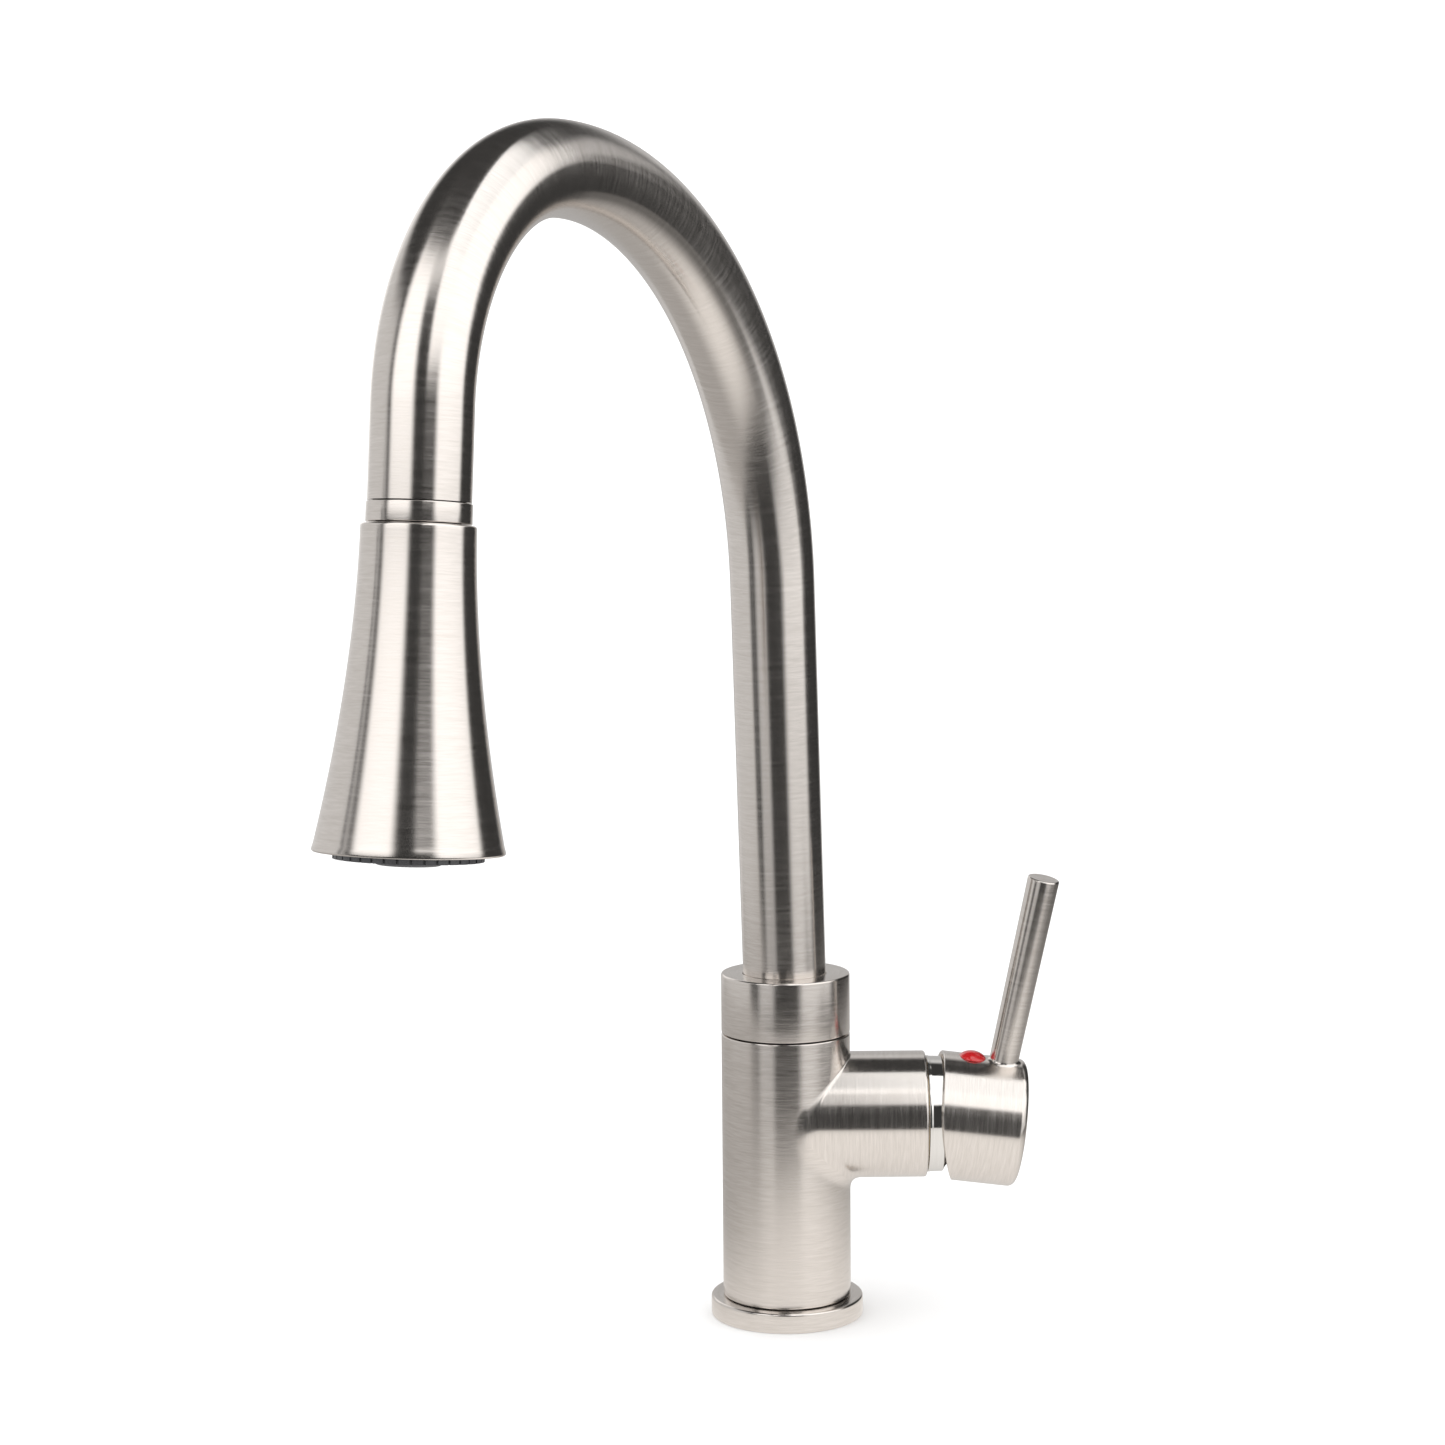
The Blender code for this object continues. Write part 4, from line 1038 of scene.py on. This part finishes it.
def make_stream():
    """The domed outlet in the middle, and the crossed wires of its screen."""
    rise, dome = -HEAD_RIM + 5 * MM, -DOME_BOTTOM
    outline = [(7.2 * MM, dome + 0.1 * MM), (7.2 * MM, rise), (DOME_R, rise), (DOME_R, dome + 1.7 * MM)]
    outline += arc(DOME_R - 1.9 * MM, dome + 1.9 * MM, 1.9 * MM, 0, -90, 10)[1:]
    lathe("stream_dome", rounded(outline, 0.2 * MM, True), HEAD, ("stream_outlet",), steps=96)
    disc_r, face = 6.9 * MM, dome + 1.0 * MM
    back = dome + 2.6 * MM
    outline = [(0, back), (disc_r, back), (disc_r, face + 0.5 * MM), (0, face + 0.3 * MM)]
    plate = lathe_mesh("plate", rounded(outline, 0.15 * MM, False), 64)
    wire_r, gap = 0.22 * MM, 0.95 * MM
    reach = int(disc_r / gap)
    lie = Matrix.Rotation(math.radians(90), 4, "Y")
    with edited(plate) as shape:
        for row, turned in itertools.product(range(-reach, reach + 1), (0, 1)):
            offset = row * gap
            length = 2 * math.sqrt(max(disc_r**2 - offset**2, 0)) - 0.6 * MM
            spin = Matrix.Rotation(math.radians(90 * turned), 4, "Z")
            spot = Matrix.Translation((0, offset, face + 0.15 * MM * (1 - turned)))
            bmesh.ops.create_cone(
                shape, cap_ends=True, segments=12, radius1=wire_r, radius2=wire_r, depth=length,
                matrix=spin @ spot @ lie,
            )
    brush_round_z(plate)
    put("stream_mesh", shaded(plate), HEAD, POLISHED, "spray_selector", ("stream_screen",))


# Pieces that keep the CAD outline

TURNED_IN_PLACE = {
    "base_seal": WORLD, "hose_guide": WORLD, "thrust_washer": WORLD, "spout_foot": WORLD,
    "foot_oring_upper": WORLD, "foot_oring_lower": WORLD, "cartridge_nut": BRANCH,
    "dock_bush": HEAD, "hose_ferrule": HEAD, "swivel_nut": HEAD, "swivel_washer": HEAD,
    "head_core": HEAD, "check_valve": HEAD, "face_plate": HEAD,
    "handle_set_screw": HANDLE @ Matrix.Translation((GRUB_AT, 0, 0)),
}


def make_turned_pieces():
    places = dict(TURNED_IN_PLACE)
    for name in ("hot_fitting", "cold_fitting", "outlet_fitting"):
        low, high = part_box(name)
        middle = (low + high) / 2
        places[name] = Matrix.Translation((middle.x, middle.y, 0))
    low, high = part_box("spout_retaining_screw")
    middle = (low + high) / 2
    places["spout_retaining_screw"] = axes_frame(Vector((0, 0, middle.z)), X, -Z, Y)
    for name, place in places.items():
        refined(name, place)


def finish_cad_nodes():
    """Every CAD node that still shows gets its slot's finish."""
    for name, shown in frame["nodes"].items():
        if shown.hide_render:
            continue
        shown.data.materials.clear()
        shown.data.materials.append(FINISHES[SLOT_OF[name]])
        shown.data.polygons.foreach_set("material_index", [0] * len(shown.data.polygons))


# Studio

CAMERA_AT = Vector((-21.70, -1036.31, 318.68)) * MM
CAMERA_PITCH, CAMERA_ROLL, LENS = math.radians(5.762), -0.00828, 73.20
DOME_AT, DOME_SIZE = Vector((-30, -60, 200)) * MM, 950 * MM


def make_camera():
    data = bpy.data.cameras.new("camera")
    data.lens, data.sensor_width = LENS, 36.0
    data.clip_start, data.clip_end = 0.01, 50
    made = linked("camera", data)
    pitch = Matrix.Rotation(math.radians(90) - CAMERA_PITCH, 4, "X")
    made.matrix_world = Matrix.Translation(CAMERA_AT) @ pitch @ Matrix.Rotation(CAMERA_ROLL, 4, "Z")
    bpy.context.scene.camera = made


def plane(name, low, high, height, material):
    corners = [(low[0], low[1]), (high[0], low[1]), (high[0], high[1]), (low[0], high[1])]
    mesh = new_mesh(name, [(x, y, height) for x, y in corners], [(0, 1, 2, 3)])
    mesh.materials.append(material)
    made = linked(name, mesh)
    made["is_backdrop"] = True
    return made


def glossy_only(obj):
    """Seen in reflections and nowhere else, like a card held beside the lens."""
    obj.visible_camera = obj.visible_diffuse = obj.visible_shadow = False
    obj.visible_transmission = obj.visible_volume_scatter = False


# What the metal reflects: azimuth from and to (0 is towards the lens, positive towards the handle),
# elevation from and to, brightness, and the width of the soft edge. Angles are degrees. A later window
# lies over an earlier one.
WINDOWS = (
    ("left_wall", -205, -68, -90, 38, 0.70, 12),
    ("back_wall", 156, 200, -90, 24, 0.52, 16),
    ("bright_doorway", -172, -138, 6, 32, 1.05, 8),
    ("front_left_floor", -50, -21, -22, 1, 0.64, 13),
    ("left_softbox", -60, -16, 9, 58, 1.50, 10),
    ("gap_filler", -20, 6, 47, 58, 1.15, 5),
    ("right_softbox_top", 7, 113, 23, 63, 1.50, 6),
    ("right_softbox", 29, 96, 4, 34, 1.50, 12),
    ("right_softbox_foot", 34, 90, -6, 10, 1.10, 8),
    ("front_right_floor", 28, 90, -22, -3, 0.85, 16),
    ("back_right_shelf", 117, 146, 30, 47, 0.45, 8),
)
DARK_ROOM = 0.045


def between(tree, value, middle, half, soft):
    """1 where value is within half of middle, falling to 0 over the soft edge."""
    turned = math_node(tree, "MODULO", math_node(tree, "ADD", value, 540 - middle), 360)
    away = math_node(tree, "ABSOLUTE", math_node(tree, "SUBTRACT", turned, 180))
    return map_range(tree, away, half + soft / 2, half - soft / 2, curve="SMOOTHSTEP")


def glowing(name, paint, color=(1, 1, 1)):
    """A material that gives off light as bright as paint says."""
    material = bpy.data.materials.new(name)
    material.use_nodes = True
    tree = material.node_tree
    tree.nodes.clear()
    place = tree.nodes.new("ShaderNodeTexCoord").outputs["Object"]
    split = tree.nodes.new("ShaderNodeSeparateXYZ")
    tree.links.new(place, split.inputs[0])
    glow = tree.nodes.new("ShaderNodeEmission")
    glow.inputs["Color"].default_value = (*color, 1)
    tree.links.new(paint(tree, *split.outputs), glow.inputs["Strength"])
    out = tree.nodes.new("ShaderNodeOutputMaterial")
    tree.links.new(glow.outputs[0], out.inputs["Surface"])
    return material


def paint_room(tree, x, y, z):
    degrees = 180 / math.pi
    front = math_node(tree, "MULTIPLY", y, -1.0)
    azimuth = math_node(tree, "MULTIPLY", math_node(tree, "ARCTAN2", x, front), degrees)
    height = math_node(tree, "DIVIDE", z, DOME_SIZE)
    elevation = math_node(tree, "MULTIPLY", math_node(tree, "ARCSINE", height), degrees)
    tone = DARK_ROOM
    for _, left, right, low, high, brightness, soft in WINDOWS:
        across = between(tree, azimuth, (left + right) / 2, (right - left) / 2, soft)
        upright = between(tree, elevation, (low + high) / 2, (high - low) / 2, soft)
        mix = tree.nodes.new("ShaderNodeMix")
        tree.links.new(math_node(tree, "MULTIPLY", across, upright), mix.inputs["Factor"])
        if isinstance(tone, bpy.types.NodeSocket):
            tree.links.new(tone, mix.inputs["A"])
        else:
            mix.inputs["A"].default_value = tone
        mix.inputs["B"].default_value = brightness
        tone = mix.outputs["Result"]
    return tone


def paint_worktop(tree, x, y, z):
    """Pale all over, brightest in front of the body where the lamps meet, and dim at the far right."""
    right = math_node(tree, "SUBTRACT", x, 0.06)
    front = math_node(tree, "ADD", y, 0.11)
    squared = math_node(tree, "MULTIPLY", front, front)
    away = math_node(tree, "SQRT", math_node(tree, "MULTIPLY_ADD", right, right, squared))
    pool = map_range(tree, away, 0.04, 0.30, 1.0, 0.48, "SMOOTHSTEP")
    dim = map_range(tree, x, 0.24, 0.42, 1.0, 0.35)
    return math_node(tree, "MULTIPLY", pool, dim)


def paint_stand(tree, x, y, z):
    return math_node(tree, "MULTIPLY_ADD", y, 0.2, 0.12)


def paint_panel(tree, x, y, z):
    return math_node(tree, "MULTIPLY_ADD", x, -0.6, 1.5)


def make_reflector_dome():
    """A painted dome that only reflections see: soft boxes at the sides and above, with dark gaps."""
    mesh = bpy.data.meshes.new("reflector_dome")
    with edited(mesh) as shape:
        bmesh.ops.create_uvsphere(shape, u_segments=96, v_segments=48, radius=DOME_SIZE)
    dome = linked("reflector_dome", mesh)
    dome.location = DOME_AT
    dome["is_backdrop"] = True
    glossy_only(dome)
    mesh.materials.append(glowing("reflector_paint", paint_room, (1.0, 0.985, 0.975)))


def make_stage():
    """A white floor under the faucet, and the worktop and a lamp stand that only reflections see."""
    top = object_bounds()[0][2] - 0.2 * MM
    pale = grained("pale_floor", (0.93, 0.93, 0.93), (0.96, 0.96, 0.96), 0.9, 0.05, 60, 0)
    floor = plane("floor", (-6, -0.13), (6, 9), top, pale)
    floor.visible_glossy = False
    paint = glowing("worktop_paint", paint_worktop, (1.0, 0.965, 0.93))
    glossy_only(plane("worktop_card", (-0.60, -0.27), (0.60, 0.60), top, paint))
    paint = glowing("panel_paint", paint_panel)
    glossy_only(plane("overhead_panel", (0.03, -0.55), (0.40, 0.04), 0.85, paint))
    stand = plane("lamp_stand", (-0.015, 0), (0.015, 0.33), 0, glowing("stand_paint", paint_stand))
    stand.location = (-0.40, -0.26, top)
    stand.rotation_euler = (math.radians(90), 0, math.radians(-57))
    glossy_only(stand)


def make_light():
    world = bpy.data.worlds.new("studio")
    bpy.context.scene.world = world
    world.use_nodes = True
    world.node_tree.nodes["Background"].inputs["Color"].default_value = (1, 1, 1, 1)
    world.node_tree.nodes["Background"].inputs["Strength"].default_value = 1.3
    data = bpy.data.lights.new("key", "AREA")
    data.size, data.energy = 1.2, 2
    light = linked("key", data)
    light.location = (-0.5, -0.7, 1.5)
    light.rotation_euler = (Vector((0, 0, 0.1)) - light.location).to_track_quat("-Z", "Y").to_euler()
    light.visible_glossy = light.visible_camera = False


make_camera()
make_flange()
make_body()
make_bonnet()
make_hub()
make_lever()
make_button()
make_tube()
make_collar()
make_tip_ring()
make_hose()
make_head()
make_selector()
make_nozzles()
make_stream()
make_turned_pieces()
finish_cad_nodes()
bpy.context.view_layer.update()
make_reflector_dome()
make_stage()
make_light()
bpy.context.scene.view_settings.view_transform = "Standard"
